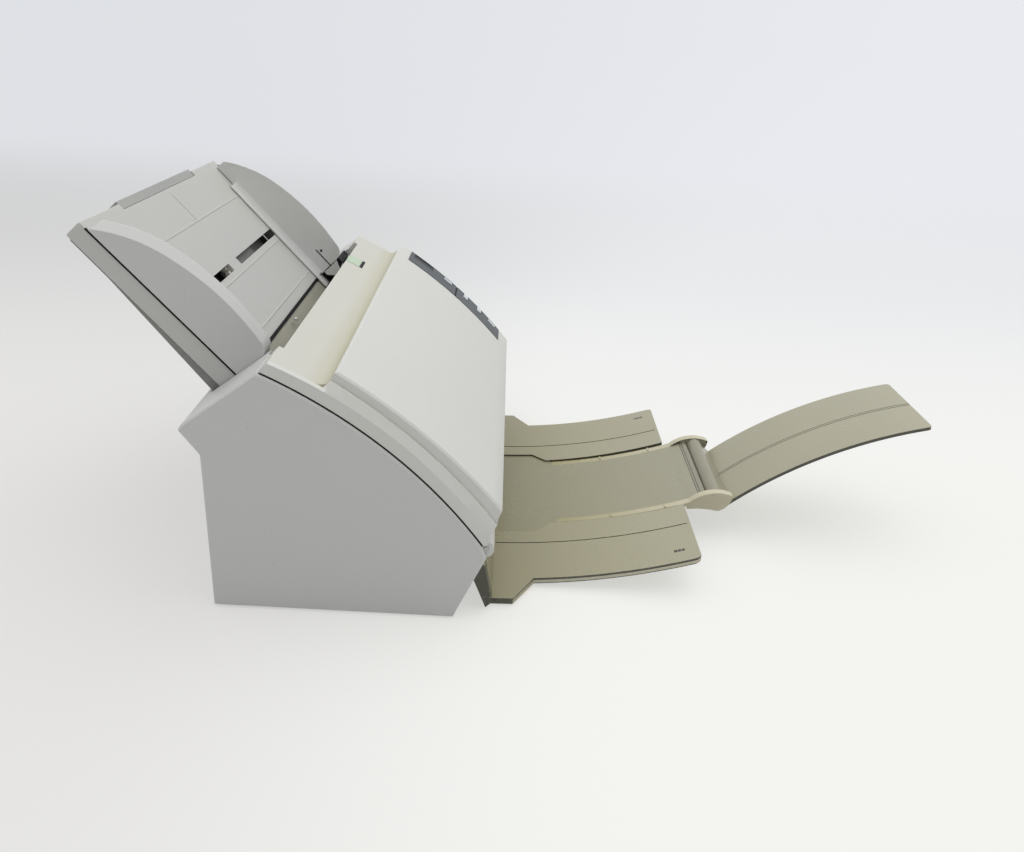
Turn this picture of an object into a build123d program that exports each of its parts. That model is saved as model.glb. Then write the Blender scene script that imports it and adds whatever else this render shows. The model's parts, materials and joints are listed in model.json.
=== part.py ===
from build123d import *
import os
from math import atan2, ceil, cos, degrees, hypot, pi, radians, sin, sqrt

os.makedirs("parts", exist_ok=True)

# Desktop sheet-fed document scanner with a cover that opens forward, a paper chute behind and a
# folding stacker in front. Millimetres. Origin under the middle of the body on the desk,
# -Y to the front, +Z up, +X the side with the operator panel.

# Overall sizes
WIDTH = 301.0  # across the two side panels
WALL = 2.8  # moulded housing wall
GAP = 0.5  # between pieces that move past each other
SEAT = 0.2  # between pieces that are fixed to each other
RUN = 0.05  # radial clearance of a shaft in its bush
HALF = WIDTH / 2
ABOVE = 170.0  # a height above the whole body, where cuts may end
BELOW = -1.0  # a height under the body, where cuts may start

# Side outline of the body, as (y, z) points and two arcs about centres below and behind
BASE_Z = 1.2
BASE_FRONT_Y = -63.6
REAR_Y = 70.6
LIP_FOOT = (REAR_Y, 95.2)
LIP_TIP = (80.9, 109.2)
LIP_TOP = (78.9, 112.1)
DECK_FRONT_Y = 39.0
SEAM_CENTRE = (152.9, -118.5)
SEAM_RADIUS = 285.0
SEAM_END_Y = -78.6
NOSE = (-80.9, 40.9)
EDGE_SOFT = 1.6  # rounding of the outer long edges

# Front recess under the nose, where the stacker hangs
RECESS_SIDE = 10.5  # side wall that is left beside the recess
RECESS_HALF = HALF - RECESS_SIDE
RECESS_TOP = (-69.5, 39.5)
RECESS_FOOT_Y = -57.5

# Throat between the towers, where the cover's inner unit dips in
SIDE_BAY = 28.5  # from the outer side face to the throat
THROAT_HALF = HALF - SIDE_BAY
TOWER_WALL = 2.0
TOWER_DEPTH = 14.0

# Paper path: one arc from the chute down to the exit
PATH_CENTRE = (-141.6, 315.0)
PATH_RADIUS = 276.0
PATH_SLACK = 0.5  # paper gap each side of the path
GUIDE_WALL = 2.2
GUIDE_INSET = 6.0  # from the throat to the guides' ends
GUIDE_HALF = THROAT_HALF - GUIDE_INSET
ENTRY_TOP_DEG = 46.2
ENTRY_FOOT_DEG = 41.2
LOWER_TOP_DEG = 40.9
LOWER_FOOT_DEG = 13.4
UPPER_TOP_DEG = 38.2
UPPER_FOOT_DEG = 15.0

# Rollers along the path, as angle on the path arc, radius, and width of each rubber
PICK = {"deg": 36.8, "radius": 11.0, "width": 22.0}
FEED = {"deg": 31.6, "radius": 9.0, "width": 26.0}
EJECT = {"deg": 18.4, "radius": 9.0, "width": 26.0}
BRAKE_RADIUS = 9.0
PINCH_RADIUS = 6.0
NIP = 0.3  # left open between rollers that face each other
SHAFT_RADIUS = 3.0
PICK_OFFSETS = (-22.0, 22.0)
FEED_OFFSETS = (-52.0, 52.0)
WINDOW_CLEAR = 1.2
IDLE_SHAFT_RADIUS = 2.0

# Drive frames and train
FRAME_INNER = GUIDE_HALF + 2.0
FRAME_WALL = 1.6
FRAME_REAR_Y = 58.0
FRAME_REAR_Z = 60.0
FRAME_CREST_DROP = (46.0, 16.0)  # y, and fall below the crest, of the corner behind the pick shaft
FRAME_FRONT_Y = -48.0
FRAME_NOSE = (-62.0, 36.0)
BUSH_RADIUS = 5.5
BUSH_LENGTH = 2.8
SHAFT_TAIL = 1.5  # of a shaft beyond the left frame
SHAFT_REACH = 14.0  # of a shaft beyond the right frame
SHAFT_END = FRAME_INNER + SHAFT_REACH
GEAR_X = FRAME_INNER + 6.0
GEAR_WIDTH = 5.0
MODULE = 1.0
TOOTH_SHARE = 0.42  # tooth thickness on the pitch circle as a share of the pitch
FEED_TEETH = 20
PICK_TEETH = 24
IDLER_TEETH = 16
REDUCER_TEETH = 40
MOTOR_TEETH = 12
MOTOR_PLACE = (35.0, 28.0)
MOTOR_RADIUS = 17.5
MOTOR_LENGTH = 30.0
MOTOR_BOSS = 5.0
MOTOR_SHAFT = 1.5
STUD_SHOULDER = 4.5
STUD_HEAD = (4.2, 0.9)  # radius and thickness
BELT_X = FRAME_INNER + 13.0
BELT_WIDTH = 5.0
PULLEY_RADIUS = 8.0
PULLEY_RIM = (10.0, 1.0)  # radius and thickness of the flanges
BELT_THICK = 1.4

# Optical units
GLASS_HALF = GUIDE_HALF - 7.0
GLASS_THICK = 2.0
LOWER_GLASS_DEG = 26.6
UPPER_GLASS_DEG = 24.6
GLASS_SPAN = 11.0
UNIT_SPAN = 30.0
UNIT_DEPTH = 32.0
UNIT_HALF = GUIDE_HALF - 4.0

# Cover
COVER_HINGE = (-80.0, 44.5)
KNUCKLE_RADIUS = 5.0
PIN_RADIUS = 2.0
PIN_TAIL = 2.4  # length of a hinge pin inside the tower's inner wall
PIN_SKIN = 2.6  # wall left outside the end of a hinge pin
KNUCKLE_INNER = THROAT_HALF + 2.6
KNUCKLE_OUTER = HALF - 4.9
COVER_INSET = 1.1  # of the cover's sides from the side panels' faces
COVER_HALF = HALF - COVER_INSET
SHOULDER_WIDTH = 3.4  # run of the sloped shoulder beside the panel
SHOULDER_HALF = COVER_HALF - SHOULDER_WIDTH
LEDGE_WIDTH = 1.5  # ledge beside the raised panel
PANEL_SOFT = 1.2  # chamfer of the panel's upper edges
PANEL_HALF = SHOULDER_HALF - LEDGE_WIDTH
LEDGE_CENTRE = (135.0, -96.2)
LEDGE_RADIUS = 264.5
GROOVE_CENTRE = (169.7, -137.0)
GROOVE_RADIUS = 322.7
RIM_CENTRE = (175.3, -152.1)
RIM_RADIUS = 344.1
COVER_REAR_Y = 33.4
COVER_SEAM_Y = 38.2
COVER_NOTCH_Y = 31.0
COVER_NOTCH_HALF = THROAT_HALF + 0.7
STEP_FOOT_Y = 6.5
STEP_MID_Y = 2.5
STEP_TOP_Y = 0.0
GROOVE_FRONT_Y = -85.8
LEDGE_FRONT_Y = -81.4
CROWN_FRONT_Y = -87.9
COVER_WALL = 2.5
COVER_FOOT = (-81.2, 49.4)
COVER_FRONT_LOW = (-82.2, 53.0)
COVER_FRONT_MID = (-86.4, 63.7)
PANEL_FRONT = (-88.3, 68.6)

# Release lever behind the cover's rear edge, with its marker on the valley
LEVER_PIVOT = (30.8, 127.6)
LEVER_X = (HALF - 81.5, HALF - 57.5)
LEVER_PIN_RADIUS = 1.2
LEVER_EAR = 3.0
LEVER_BOSS = 2.3
LEVER_PROFILE = (
    (29.4, 127.6),
    (32.2, 127.6),
    (33.2, 136.4),
    (35.2, 141.0),
    (37.8, 147.4),
    (36.2, 148.9),
    (33.2, 145.6),
    (31.7, 139.8),
    (30.6, 136.8),
)
GRIP_RADIUS = 0.45  # finger grooves on the lever's tab
MARKER_X = (LEVER_X[0] + 0.5, LEVER_X[1] - 6.0)
MARKER_Y = (31.0, 21.5, 19.6)
MARKER_PROUD = 0.25

# Operator panel on the cover's right side
OP_OUTER = PANEL_HALF - 1.9
OP_WIDTH = 26.1
OP_INNER = OP_OUTER - OP_WIDTH
OP_REAR_Y = -9.0
OP_FRONT_Y = -81.0
OP_THICK = 1.8
OP_PROUD = 0.3
OP_GROOVE_Y = -45.6
OP_GROOVE = (1.2, 1.0)  # width and depth of the groove across the strip
DISPLAY_X = (OP_OUTER - 12.1, OP_OUTER - 1.4)
DISPLAY_Y = (-12.0, -26.5)
BUTTON_X = OP_OUTER - 6.1
LONG_KEY = (4.4, 8.0)
WIDE_KEY = (9.0, 4.4)
BUTTONS = {
    "function_button": (-38.4, LONG_KEY),
    "send_button": (-53.0, WIDE_KEY),
    "scan_button": (-64.0, WIDE_KEY),
    "power_button": (-74.5, LONG_KEY),
}
BUTTON_CORNER = 1.2
BUTTON_PROUD = 0.8
BUTTON_SHAFT = 3.6  # of a key below the strip's face

# Chute plane: rises to the rear from the end of the path
CHUTE_FOOT = (58.5, 125.1)
CHUTE_DEG = 46.48
CHUTE_INSET = 37.9
CHUTE_HALF = HALF - CHUTE_INSET
CHUTE_LENGTH = 110.0
CHUTE_WALL = 2.2
CHUTE_DEPTH_TOP = 10.1
CHUTE_DEPTH_FOOT = 11.8
NOTCH_HALF = CHUTE_HALF - 50.8
NOTCH_DEPTH = 4.0
SLOT_S = (43.0, 48.4)
SLOT_X = (8.0, CHUTE_HALF - 5.6)
RIBS_S = (7.4, 38.8, 80.2)
RIB_SIZE = (1.0, 0.2)  # width and height of the fine ribs on the paper face
CENTRE_RIB = (6.0, 80.2, 101.0)  # x, start and end of the short rib up the middle
SLOT_HALF_WIDTH = CHUTE_HALF + 1.0
SLOT_REAR_Y = 74.7
LID_EDGE = 2.2

# Side guides on the chute
FIN_OUTER = CHUTE_HALF + 0.4
FIN_THICK = 6.8
FIN_INNER = FIN_OUTER - FIN_THICK
FIN_OUTSIDE = (  # points along the outer face's outline, from its foot to its tail
    (-0.4, 0.5), (-1.2, 9.0), (-0.8, 17.0), (1.6, 21.6), (7.0, 23.8),
    (36.0, 26.0), (66.0, 21.6), (87.4, 13.6), (104.2, 1.4),
)
FIN_INSIDE = (  # the same along the inner face, which stands higher
    (-0.4, 0.5), (-1.2, 10.0), (-0.5, 19.6), (2.6, 25.2), (9.0, 27.2),
    (38.0, 29.0), (68.0, 25.2), (88.0, 18.0), (104.0, 7.2),
)
FIN_TAIL = (104.4, 0.5)
PAD_INNER = FIN_OUTER - 15.4
PAD_SWEEP = (8.0, 1.4)  # height at which the pad's hollow sweep meets the fin, and its sag
PAD_FOOT_S = -9.4
PAD_TOP_S = 88.2
PAD_THICK = 1.8
RACK_MODULE = 1.25
RACK_PINION_TEETH = 16
RACK_TOP_T = -2.7
RACK_THICK = 3.4
RACK_WIDTH = 5.0
PINION_S = 45.7
STEM_X = (FIN_OUTER - 13.0, FIN_OUTER - 7.5)
RACK_REACH = 9.0  # of each rack beyond the pinion's middle

# Chute extension that slides out of the chute's top
EXT_HALF = NOTCH_HALF - 2.2
EXT_FOOT_S = 12.0
EXT_TOP_S = 112.6
EXT_T = (-7.0, -8.8)
EXT_WINDOW_X = (-30.0, -8.0)
EXT_WINDOW_S = (32.0, 62.0)

# Stacker
STACKER_HINGE = (-73.5, 31.0)
EAR_RADIUS = 5.0
EAR_OUTER = RECESS_HALF - 1.4
EAR_INNER = EAR_OUTER - 9.6
BOW_CENTRE = (-78.0, 404.0)
TRAY_TOP_RADIUS = 399.2
TRAY_FOOT_RADIUS = 403.0
WING_HALF = HALF - 37.5
WING_CORNER = 4.0
TRAY_REAR_HALF = RECESS_HALF - 6.0
TRAY_REAR_Y = -84.0
JOG_REAR_Y = -97.5
JOG_FRONT_Y = -110.0
WING_FRONT_Y = -208.8
WING_GROOVE_X = WING_HALF - 40.7
WING_GROOVE = (1.0, 0.5)  # width and depth
CHANNEL_HALF = 46.6
DIP_HALF = 57.6  # the sunk middle of the tray behind the channel
DIP_REAR_Y = -86.5
CHANNEL_REAR_Y = -118.0
FLOOR_FOOT_RADIUS = 404.4
FLOOR_REAR_Y = -125.0
FLOOR_FRONT_Y = -205.0
UPSTAND_TOP = (-78.0, 28.0)
UPSTAND_THICK = 2.4
EXTENSION_HALF = 46.0
EXTENSION_TOP_RADIUS = 400.4
EXTENSION_REAR_Y = -126.0
EXTENSION_FRONT_Y = -224.0
BARREL = (-231.0, 29.0)
BARREL_RADIUS = 5.6
BARREL_HALF = 39.6
BARREL_PIN_RADIUS = 2.5
LUG_THICK = 5.8
LUG_OUTER = 46.0
LUG_INNER = LUG_OUTER - LUG_THICK
LUG_SKIN = 1.6  # left outside the pin's blind holes
LUG_CREST = ((-211.0, 24.6), (-226.5, 34.4), (-241.0, 33.2))
LUG_BREAST = ((-241.0, 33.2), (-238.6, 26.0), (-232.6, 21.6))
LUG_FOOT = ((-232.6, 21.6), (-224.4, 22.6), (-212.0, 22.0))
TROUGH_THICK = 1.6  # of the trough under the flap's barrel
FLAP_HALF = 38.3
FLAP_ARC = ((-239.0, 23.4), (-297.8, 63.0), (-364.0, 87.2))
FLAP_ROOT = ((-234.6, 32.0), (-241.6, 26.4), (-238.0, 21.4), (-234.2, 24.2))
FLAP_THICK = 2.2
FLAP_CORNER = 3.0
FLAP_GROOVE = (1.1, 0.6, 0.3)  # offset of the two middle grooves, their width and depth

# Bottom plate, rear cover and their openings in the casing
PLATE_SIZE = (WIDTH - 29.0, 106.0)
PLATE_CENTRE_Y = 5.0
PLATE_CORNER = 5.0
PLATE_LAP = 5.0  # how far the plate's inner flange reaches past its opening
FLANGE_THICK = 1.6
REAR_SIZE = (WIDTH - 105.0, 72.0)
REAR_CENTRE_Z = 48.0
REAR_CORNER = 4.0
VENT = {"step": 7.0, "width": 2.4}
REAR_VENTS = {"centre": (30.0, 58.0), "length": 36.0, "count": 11}
FLOOR_VENTS = {"centre": (40.0, -20.0), "length": 34.0, "count": 9}
SCREW_HEAD = (2.8, 1.4)  # radius and height

# Main board on the plate's bosses, with the power and data sockets at the rear
BOSS_RADIUS = 3.5
BOSS_HEIGHT = 5.0
BOSS_GRID = (120.0, 46.0)
BOARD_SIZE = (132.0, 64.0)
BOARD_CENTRE_X = -40.0
BOARD_THICK = 1.6
BOARD_SETBACK = 2.0  # from the rear wall
CHIPS = ((-20, 32, 22, 22), (-60, 22, 14, 18), (-84, 40, 9, 16))  # centre x, y, width and depth
CHIP_HEIGHT = 2.0
JACK_AT = (-70.0, 26.0)
JACK_RADIUS = 5.5
JACK_BORE = 3.2
JACK_PIN = 1.0
USB_AT = (-46.0, 26.0)
USB_SIZE = (12.0, 11.0)
USB_MOUTH = (8.6, 7.8)
USB_TONGUE = (5.6, 3.2)
SOCKET_SINK = 0.6  # of the sockets' faces below the rear face

# Feet
FOOT_SIZE = (22.0, 12.0)
FOOT_HEIGHT = 2.6
FOOT_X = HALF - 28.5
FOOT_YS = (-38.0, 48.0)
SCREW_X = HALF - 50.5


def on_arc(centre, radius, y):
    """The point at this y on the upper half of a circle in the side view."""
    return (y, centre[1] + sqrt(radius**2 - (y - centre[0]) ** 2))


def under_arc(centre, radius, y):
    """The point at this y on the lower half of a circle in the side view."""
    return (y, centre[1] - sqrt(radius**2 - (y - centre[0]) ** 2))


def bow(centre, radius, y_start, y_end, point=on_arc):
    """Start, middle and end of the stretch of a circle between two y values."""
    return [point(centre, radius, y) for y in (y_start, (y_start + y_end) / 2, y_end)]


def path_point(angle_deg, radius=PATH_RADIUS):
    """A point beside the paper path, by its angle and its radius about the path's centre."""
    a = radians(angle_deg)
    return (PATH_CENTRE[0] + radius * sin(a), PATH_CENTRE[1] - radius * cos(a))


def path_arc(radius, deg_start, deg_end):
    return [path_point(a, radius) for a in (deg_start, (deg_start + deg_end) / 2, deg_end)]


def side_plane(x):
    """Sketch plane across the object at x, with local x along Y and local y along Z."""
    return Plane.YZ.offset(x)


def save(part, name):
    part.label = name
    export_step(part, f"parts/{name}.step")


chute_rise = radians(CHUTE_DEG)
CHUTE = Plane(
    origin=(0, CHUTE_FOOT[0], CHUTE_FOOT[1]),
    x_dir=(1, 0, 0),
    z_dir=(0, -sin(chute_rise), cos(chute_rise)),
)


def chute_side(x):
    """Plane across the chute at x: local x runs up the chute, local y stands off the paper."""
    return Plane(
        origin=(x, CHUTE_FOOT[0], CHUTE_FOOT[1]),
        x_dir=(0, cos(chute_rise), sin(chute_rise)),
        z_dir=(1, 0, 0),
    )


def chute_across(s):
    """Plane across the chute at s, facing down it: local x along X, local y off the paper."""
    y, z = CHUTE_FOOT[0] + s * cos(chute_rise), CHUTE_FOOT[1] + s * sin(chute_rise)
    return Plane(origin=(0, y, z), x_dir=(1, 0, 0), z_dir=(0, -cos(chute_rise), -sin(chute_rise)))


pick_centre = path_point(PICK["deg"], PATH_RADIUS + PICK["radius"])
feed_centre = path_point(FEED["deg"], PATH_RADIUS + FEED["radius"])
eject_centre = path_point(EJECT["deg"], PATH_RADIUS + EJECT["radius"])
brake_centre = path_point(PICK["deg"], PATH_RADIUS - NIP - BRAKE_RADIUS)
feed_pinch_centre = path_point(FEED["deg"], PATH_RADIUS - NIP - PINCH_RADIUS)
eject_pinch_centre = path_point(EJECT["deg"], PATH_RADIUS - NIP - PINCH_RADIUS)
lower_face = PATH_RADIUS + PATH_SLACK
upper_face = PATH_RADIUS - 3 * PATH_SLACK

# Lower casing: side panels, rear wall, deck and front recess in one moulding
with BuildPart() as lower_casing:
    with BuildSketch(side_plane(-HALF)):
        with BuildLine():
            seam = bow(SEAM_CENTRE, SEAM_RADIUS, DECK_FRONT_Y, SEAM_END_Y)
            Polyline((BASE_FRONT_Y, BASE_Z), (REAR_Y, BASE_Z), LIP_FOOT, LIP_TIP, LIP_TOP, seam[0])
            ThreePointArc(*seam)
            Polyline(seam[2], NOSE, (BASE_FRONT_Y, BASE_Z))
        make_face()
    extrude(amount=WIDTH)
    long_edges = lower_casing.edges().filter_by(GeomType.LINE).filter_by(Axis.X)
    soft = [e for e in long_edges if abs(e.center().Y - LIP_TIP[0]) < 3 or abs(e.center().Y - NOSE[0]) < 1]
    fillet(soft, EDGE_SOFT)
    side_rims = lower_casing.faces().filter_by(Axis.X).edges()
    chamfer(side_rims, EDGE_SOFT * 0.6)
    with BuildSketch(side_plane(-HALF + WALL)):
        with BuildLine():
            inner = bow(SEAM_CENTRE, SEAM_RADIUS - WALL, DECK_FRONT_Y, RECESS_TOP[0] + WALL)
            Polyline(
                inner[2],
                (RECESS_TOP[0] + WALL, RECESS_TOP[1]),
                (RECESS_FOOT_Y + WALL, BASE_Z + WALL),
                (REAR_Y - WALL, BASE_Z + WALL),
                (REAR_Y - WALL, LIP_FOOT[1] + WALL / 2),
                (LIP_TIP[0] - 1.5 * WALL, LIP_TIP[1] - WALL / 2),
                inner[0],
            )
            ThreePointArc(*inner)
        make_face()
    extrude(amount=WIDTH - 2 * WALL, mode=Mode.SUBTRACT)
    # recess under the nose
    with BuildSketch(side_plane(-RECESS_HALF)):
        Polygon(
            (NOSE[0] - 10, RECESS_TOP[1]),
            RECESS_TOP,
            (RECESS_FOOT_Y, BASE_Z),
            (RECESS_FOOT_Y + 0.4, BELOW),
            (NOSE[0] - 10, BELOW),
            align=None,
        )
    extrude(amount=2 * RECESS_HALF, mode=Mode.SUBTRACT)
    # inner walls of the two towers, hung from the seam
    for side in (-1, 1):
        with BuildSketch(side_plane(side * (THROAT_HALF + TOWER_WALL / 2) - TOWER_WALL / 2)):
            with BuildLine():
                top = bow(SEAM_CENTRE, SEAM_RADIUS - WALL / 2, DECK_FRONT_Y, NOSE[0] + 8)
                foot = bow(SEAM_CENTRE, SEAM_RADIUS - TOWER_DEPTH, DECK_FRONT_Y, NOSE[0] + 8)
                ThreePointArc(*top)
                Line(top[2], foot[2])
                ThreePointArc(*reversed(foot))
                Line(foot[0], top[0])
            make_face()
        extrude(amount=TOWER_WALL)
    # throat for the cover's inner unit, and the slot in the deck that the chute stands in
    nose_shelf = path_point(LOWER_FOOT_DEG, lower_face + GUIDE_WALL)[1] - SEAT
    for half, y_end in ((THROAT_HALF, DECK_FRONT_Y + 0.5), (SLOT_HALF_WIDTH, SLOT_REAR_Y)):
        with BuildSketch(side_plane(-half)):
            with BuildLine():
                Polyline(
                    (NOSE[0] - 6, nose_shelf),
                    (RECESS_TOP[0] + 6, nose_shelf),
                    (y_end, LIP_FOOT[1] + 6),
                    (y_end, ABOVE),
                    (NOSE[0] - 6, ABOVE),
                    close=True,
                )
            make_face()
        extrude(amount=2 * half, mode=Mode.SUBTRACT)
    # cradles for the cover's hinge knuckles, with holes for the pins
    for side in (-1, 1):
        with BuildSketch(side_plane(side * (KNUCKLE_INNER + KNUCKLE_OUTER) / 2)):
            with Locations(COVER_HINGE):
                Circle(KNUCKLE_RADIUS + GAP)
        cradle_half = (KNUCKLE_OUTER - KNUCKLE_INNER) / 2 + GAP
        extrude(amount=cradle_half, both=True, mode=Mode.SUBTRACT)
        pin_start = KNUCKLE_INNER - PIN_TAIL
        with BuildSketch(side_plane(side * pin_start)):
            with Locations(COVER_HINGE):
                Circle(PIN_RADIUS + RUN / 2)
        extrude(amount=side * (HALF - PIN_SKIN - pin_start), mode=Mode.SUBTRACT)
        # sockets for the stacker's pins
        with BuildSketch(side_plane(side * RECESS_HALF)):
            with Locations(STACKER_HINGE):
                Circle(PIN_RADIUS + RUN)
        extrude(amount=side * 5.0, mode=Mode.SUBTRACT)
    # openings for the bottom plate and the rear cover
    with BuildSketch(Plane.XY.offset(BELOW)):
        with Locations((0, PLATE_CENTRE_Y)):
            RectangleRounded(*PLATE_SIZE, PLATE_CORNER)
    extrude(amount=BASE_Z - BELOW + WALL + 1, mode=Mode.SUBTRACT)
    with BuildSketch(Plane.XZ.offset(-REAR_Y - 1)):
        with Locations((0, REAR_CENTRE_Z)):
            RectangleRounded(*REAR_SIZE, REAR_CORNER)
    extrude(amount=WALL + 2, mode=Mode.SUBTRACT)
save(lower_casing.part, "lower_casing")

inner_floor_z = BASE_Z + WALL + FLANGE_THICK
board_z = inner_floor_z + BOSS_HEIGHT
board_top_z = board_z + BOARD_THICK
board_centre_y = REAR_Y - WALL - BOARD_SETBACK - BOARD_SIZE[1] / 2

# Bottom plate with foot seats, vents and board bosses
with BuildPart() as bottom_plate:
    with BuildSketch(Plane.XY.offset(BASE_Z)):
        with Locations((0, PLATE_CENTRE_Y)):
            RectangleRounded(PLATE_SIZE[0] - 2 * SEAT, PLATE_SIZE[1] - 2 * SEAT, PLATE_CORNER - SEAT)
    extrude(amount=WALL)
    with BuildSketch(Plane.XY.offset(BASE_Z + WALL)):
        with Locations((0, PLATE_CENTRE_Y)):
            RectangleRounded(PLATE_SIZE[0] + 2 * PLATE_LAP, PLATE_SIZE[1] + 2 * PLATE_LAP, PLATE_CORNER)
    extrude(amount=FLANGE_THICK)
    with BuildSketch(Plane.XY.offset(inner_floor_z)):
        with Locations((BOARD_CENTRE_X, board_centre_y)):
            with GridLocations(*BOSS_GRID, 2, 2):
                Circle(BOSS_RADIUS)
    extrude(amount=BOSS_HEIGHT)
    with BuildSketch(Plane.XY.offset(BASE_Z)):
        for y in FOOT_YS:
            with Locations((-FOOT_X, y), (FOOT_X, y)):
                Rectangle(*FOOT_SIZE)
    extrude(amount=FOOT_HEIGHT - BASE_Z, mode=Mode.SUBTRACT)
    with BuildSketch(Plane.XY):
        with Locations(FLOOR_VENTS["centre"]):
            with GridLocations(VENT["step"], 0, FLOOR_VENTS["count"], 1):
                Rectangle(VENT["width"], FLOOR_VENTS["length"])
    extrude(amount=inner_floor_z + 1, mode=Mode.SUBTRACT)
    with BuildSketch(Plane.XY.offset(BASE_Z)):
        for y in FOOT_YS:
            with Locations((-SCREW_X, y), (SCREW_X, y)):
                Circle(SCREW_HEAD[0] + 2 * SEAT)
    extrude(amount=SCREW_HEAD[1] + SEAT, mode=Mode.SUBTRACT)
save(bottom_plate.part, "bottom_plate")

with BuildPart() as case_screws:
    for y in FOOT_YS:
        for x in (-SCREW_X, SCREW_X):
            with BuildSketch(Plane.XY.offset(BASE_Z)):
                with Locations((x, y)):
                    Circle(SCREW_HEAD[0])
            extrude(amount=SCREW_HEAD[1])
save(case_screws.part, "case_screws")

with BuildPart() as rubber_feet:
    with BuildSketch(Plane.XY):
        for y in FOOT_YS:
            with Locations((-FOOT_X, y), (FOOT_X, y)):
                Rectangle(FOOT_SIZE[0] - 2 * SEAT, FOOT_SIZE[1] - 2 * SEAT)
    extrude(amount=FOOT_HEIGHT)
save(rubber_feet.part, "rubber_feet")

# Rear cover: a flush panel with vents and the two sockets' windows
with BuildPart() as rear_cover:
    with BuildSketch(Plane.XZ.offset(-REAR_Y)):
        with Locations((0, REAR_CENTRE_Z)):
            RectangleRounded(REAR_SIZE[0] - 2 * SEAT, REAR_SIZE[1] - 2 * SEAT, REAR_CORNER - SEAT)
    extrude(amount=WALL)
    with BuildSketch(Plane.XZ.offset(-REAR_Y)):
        with Locations(REAR_VENTS["centre"]):
            with GridLocations(VENT["step"], 0, REAR_VENTS["count"], 1):
                Rectangle(VENT["width"], REAR_VENTS["length"])
        with Locations(JACK_AT):
            Circle(JACK_RADIUS + GAP)
        with Locations(USB_AT):
            Rectangle(USB_SIZE[0] + GAP, USB_SIZE[1] + GAP)
    extrude(amount=WALL, mode=Mode.SUBTRACT)
save(rear_cover.part, "rear_cover")

# Main board and its two sockets
with BuildPart() as main_board:
    with BuildSketch(Plane.XY.offset(board_z)):
        with Locations((BOARD_CENTRE_X, board_centre_y)):
            RectangleRounded(*BOARD_SIZE, 2)
    extrude(amount=BOARD_THICK)
    with BuildSketch(Plane.XY.offset(board_top_z)):
        for x, y, width, depth in CHIPS:
            with Locations((x, y)):
                Rectangle(width, depth)
    extrude(amount=CHIP_HEIGHT)
save(main_board.part, "main_board")

socket_face = Plane.XZ.offset(-REAR_Y + SOCKET_SINK)
with BuildPart() as dc_jack:
    with BuildSketch(socket_face):
        with Locations(JACK_AT):
            Circle(JACK_RADIUS)
    extrude(amount=6)
    block_top = JACK_AT[1] + JACK_RADIUS + 1
    with BuildSketch(Plane.XZ.offset(-REAR_Y + WALL + GAP)):
        with Locations((JACK_AT[0], (block_top + board_top_z) / 2)):
            Rectangle(2 * JACK_RADIUS + 3, block_top - board_top_z)
    extrude(amount=12)
    with BuildSketch(socket_face):
        with Locations(JACK_AT):
            Circle(JACK_BORE)
            Circle(JACK_PIN, mode=Mode.SUBTRACT)
    extrude(amount=10, mode=Mode.SUBTRACT)
save(dc_jack.part, "dc_jack")

with BuildPart() as usb_port:
    with BuildSketch(socket_face):
        with Locations(USB_AT):
            Rectangle(*USB_SIZE)
    extrude(amount=16)
    with BuildSketch(Plane.XZ.offset(-REAR_Y + WALL + 4)):
        with Locations((USB_AT[0], (USB_AT[1] + board_top_z) / 2)):
            Rectangle(USB_SIZE[0] - 2, USB_AT[1] - board_top_z)
    extrude(amount=10)
    with BuildSketch(socket_face):
        with Locations(USB_AT):
            Rectangle(*USB_MOUTH)
            Rectangle(*USB_TONGUE, mode=Mode.SUBTRACT)
    extrude(amount=9, mode=Mode.SUBTRACT)
save(usb_port.part, "usb_port")


def curved_strip(x, radius, thick, deg_top, deg_foot):
    """The section at x of a guide that follows the path, from radius outwards by thick."""
    with BuildSketch(side_plane(x)) as section:
        with BuildLine():
            near = path_arc(radius, deg_top, deg_foot)
            far = path_arc(radius + thick, deg_foot, deg_top)
            ThreePointArc(*near)
            Line(near[2], far[0])
            ThreePointArc(*far)
            Line(far[2], near[0])
        make_face()
    return section.sketch


def across_path(deg, radius):
    """Plane square to a radius of the path, looking outwards, with local x along X."""
    base = path_point(deg, radius)
    return Plane(
        origin=(0, *base), x_dir=(1, 0, 0), z_dir=(0, sin(radians(deg)), -cos(radians(deg)))
    )


def roller_windows(deg, roller_radius, width, offsets, outside):
    """Cut a square window for each rubber of a roller, as wide as its chord in the guide."""
    wall_radius = lower_face + GUIDE_WALL if outside else upper_face - GUIDE_WALL
    centre_radius = PATH_RADIUS + roller_radius if outside else PATH_RADIUS - NIP - roller_radius
    depth = abs(centre_radius - wall_radius)
    chord = 2 * sqrt(max(roller_radius**2 - depth**2, 0)) if depth < roller_radius else 0
    with BuildSketch(across_path(deg, wall_radius)) as windows:
        for x in offsets:
            with Locations((x, 0)):
                Rectangle(width + 2 * WINDOW_CLEAR, chord + 2 * WINDOW_CLEAR)
    extrude(windows.sketch, amount=2 * GUIDE_WALL, both=True, mode=Mode.SUBTRACT)


# Paper path: entry guide and lower guide follow the path arc, with windows for the rollers
with BuildPart() as entry_guide:
    entry_half = SLOT_HALF_WIDTH - GAP
    entry_section = curved_strip(-entry_half, lower_face, GUIDE_WALL, ENTRY_TOP_DEG, ENTRY_FOOT_DEG)
    extrude(entry_section, amount=2 * entry_half)
    # stiffening ribs below
    for x in (-90, -45, 0, 45, 90):
        rib = curved_strip(x, lower_face + GUIDE_WALL, 5.0, ENTRY_TOP_DEG - 0.4, ENTRY_FOOT_DEG + 0.4)
        extrude(rib, amount=0.8, both=True)
save(entry_guide.part, "entry_guide")

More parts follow.
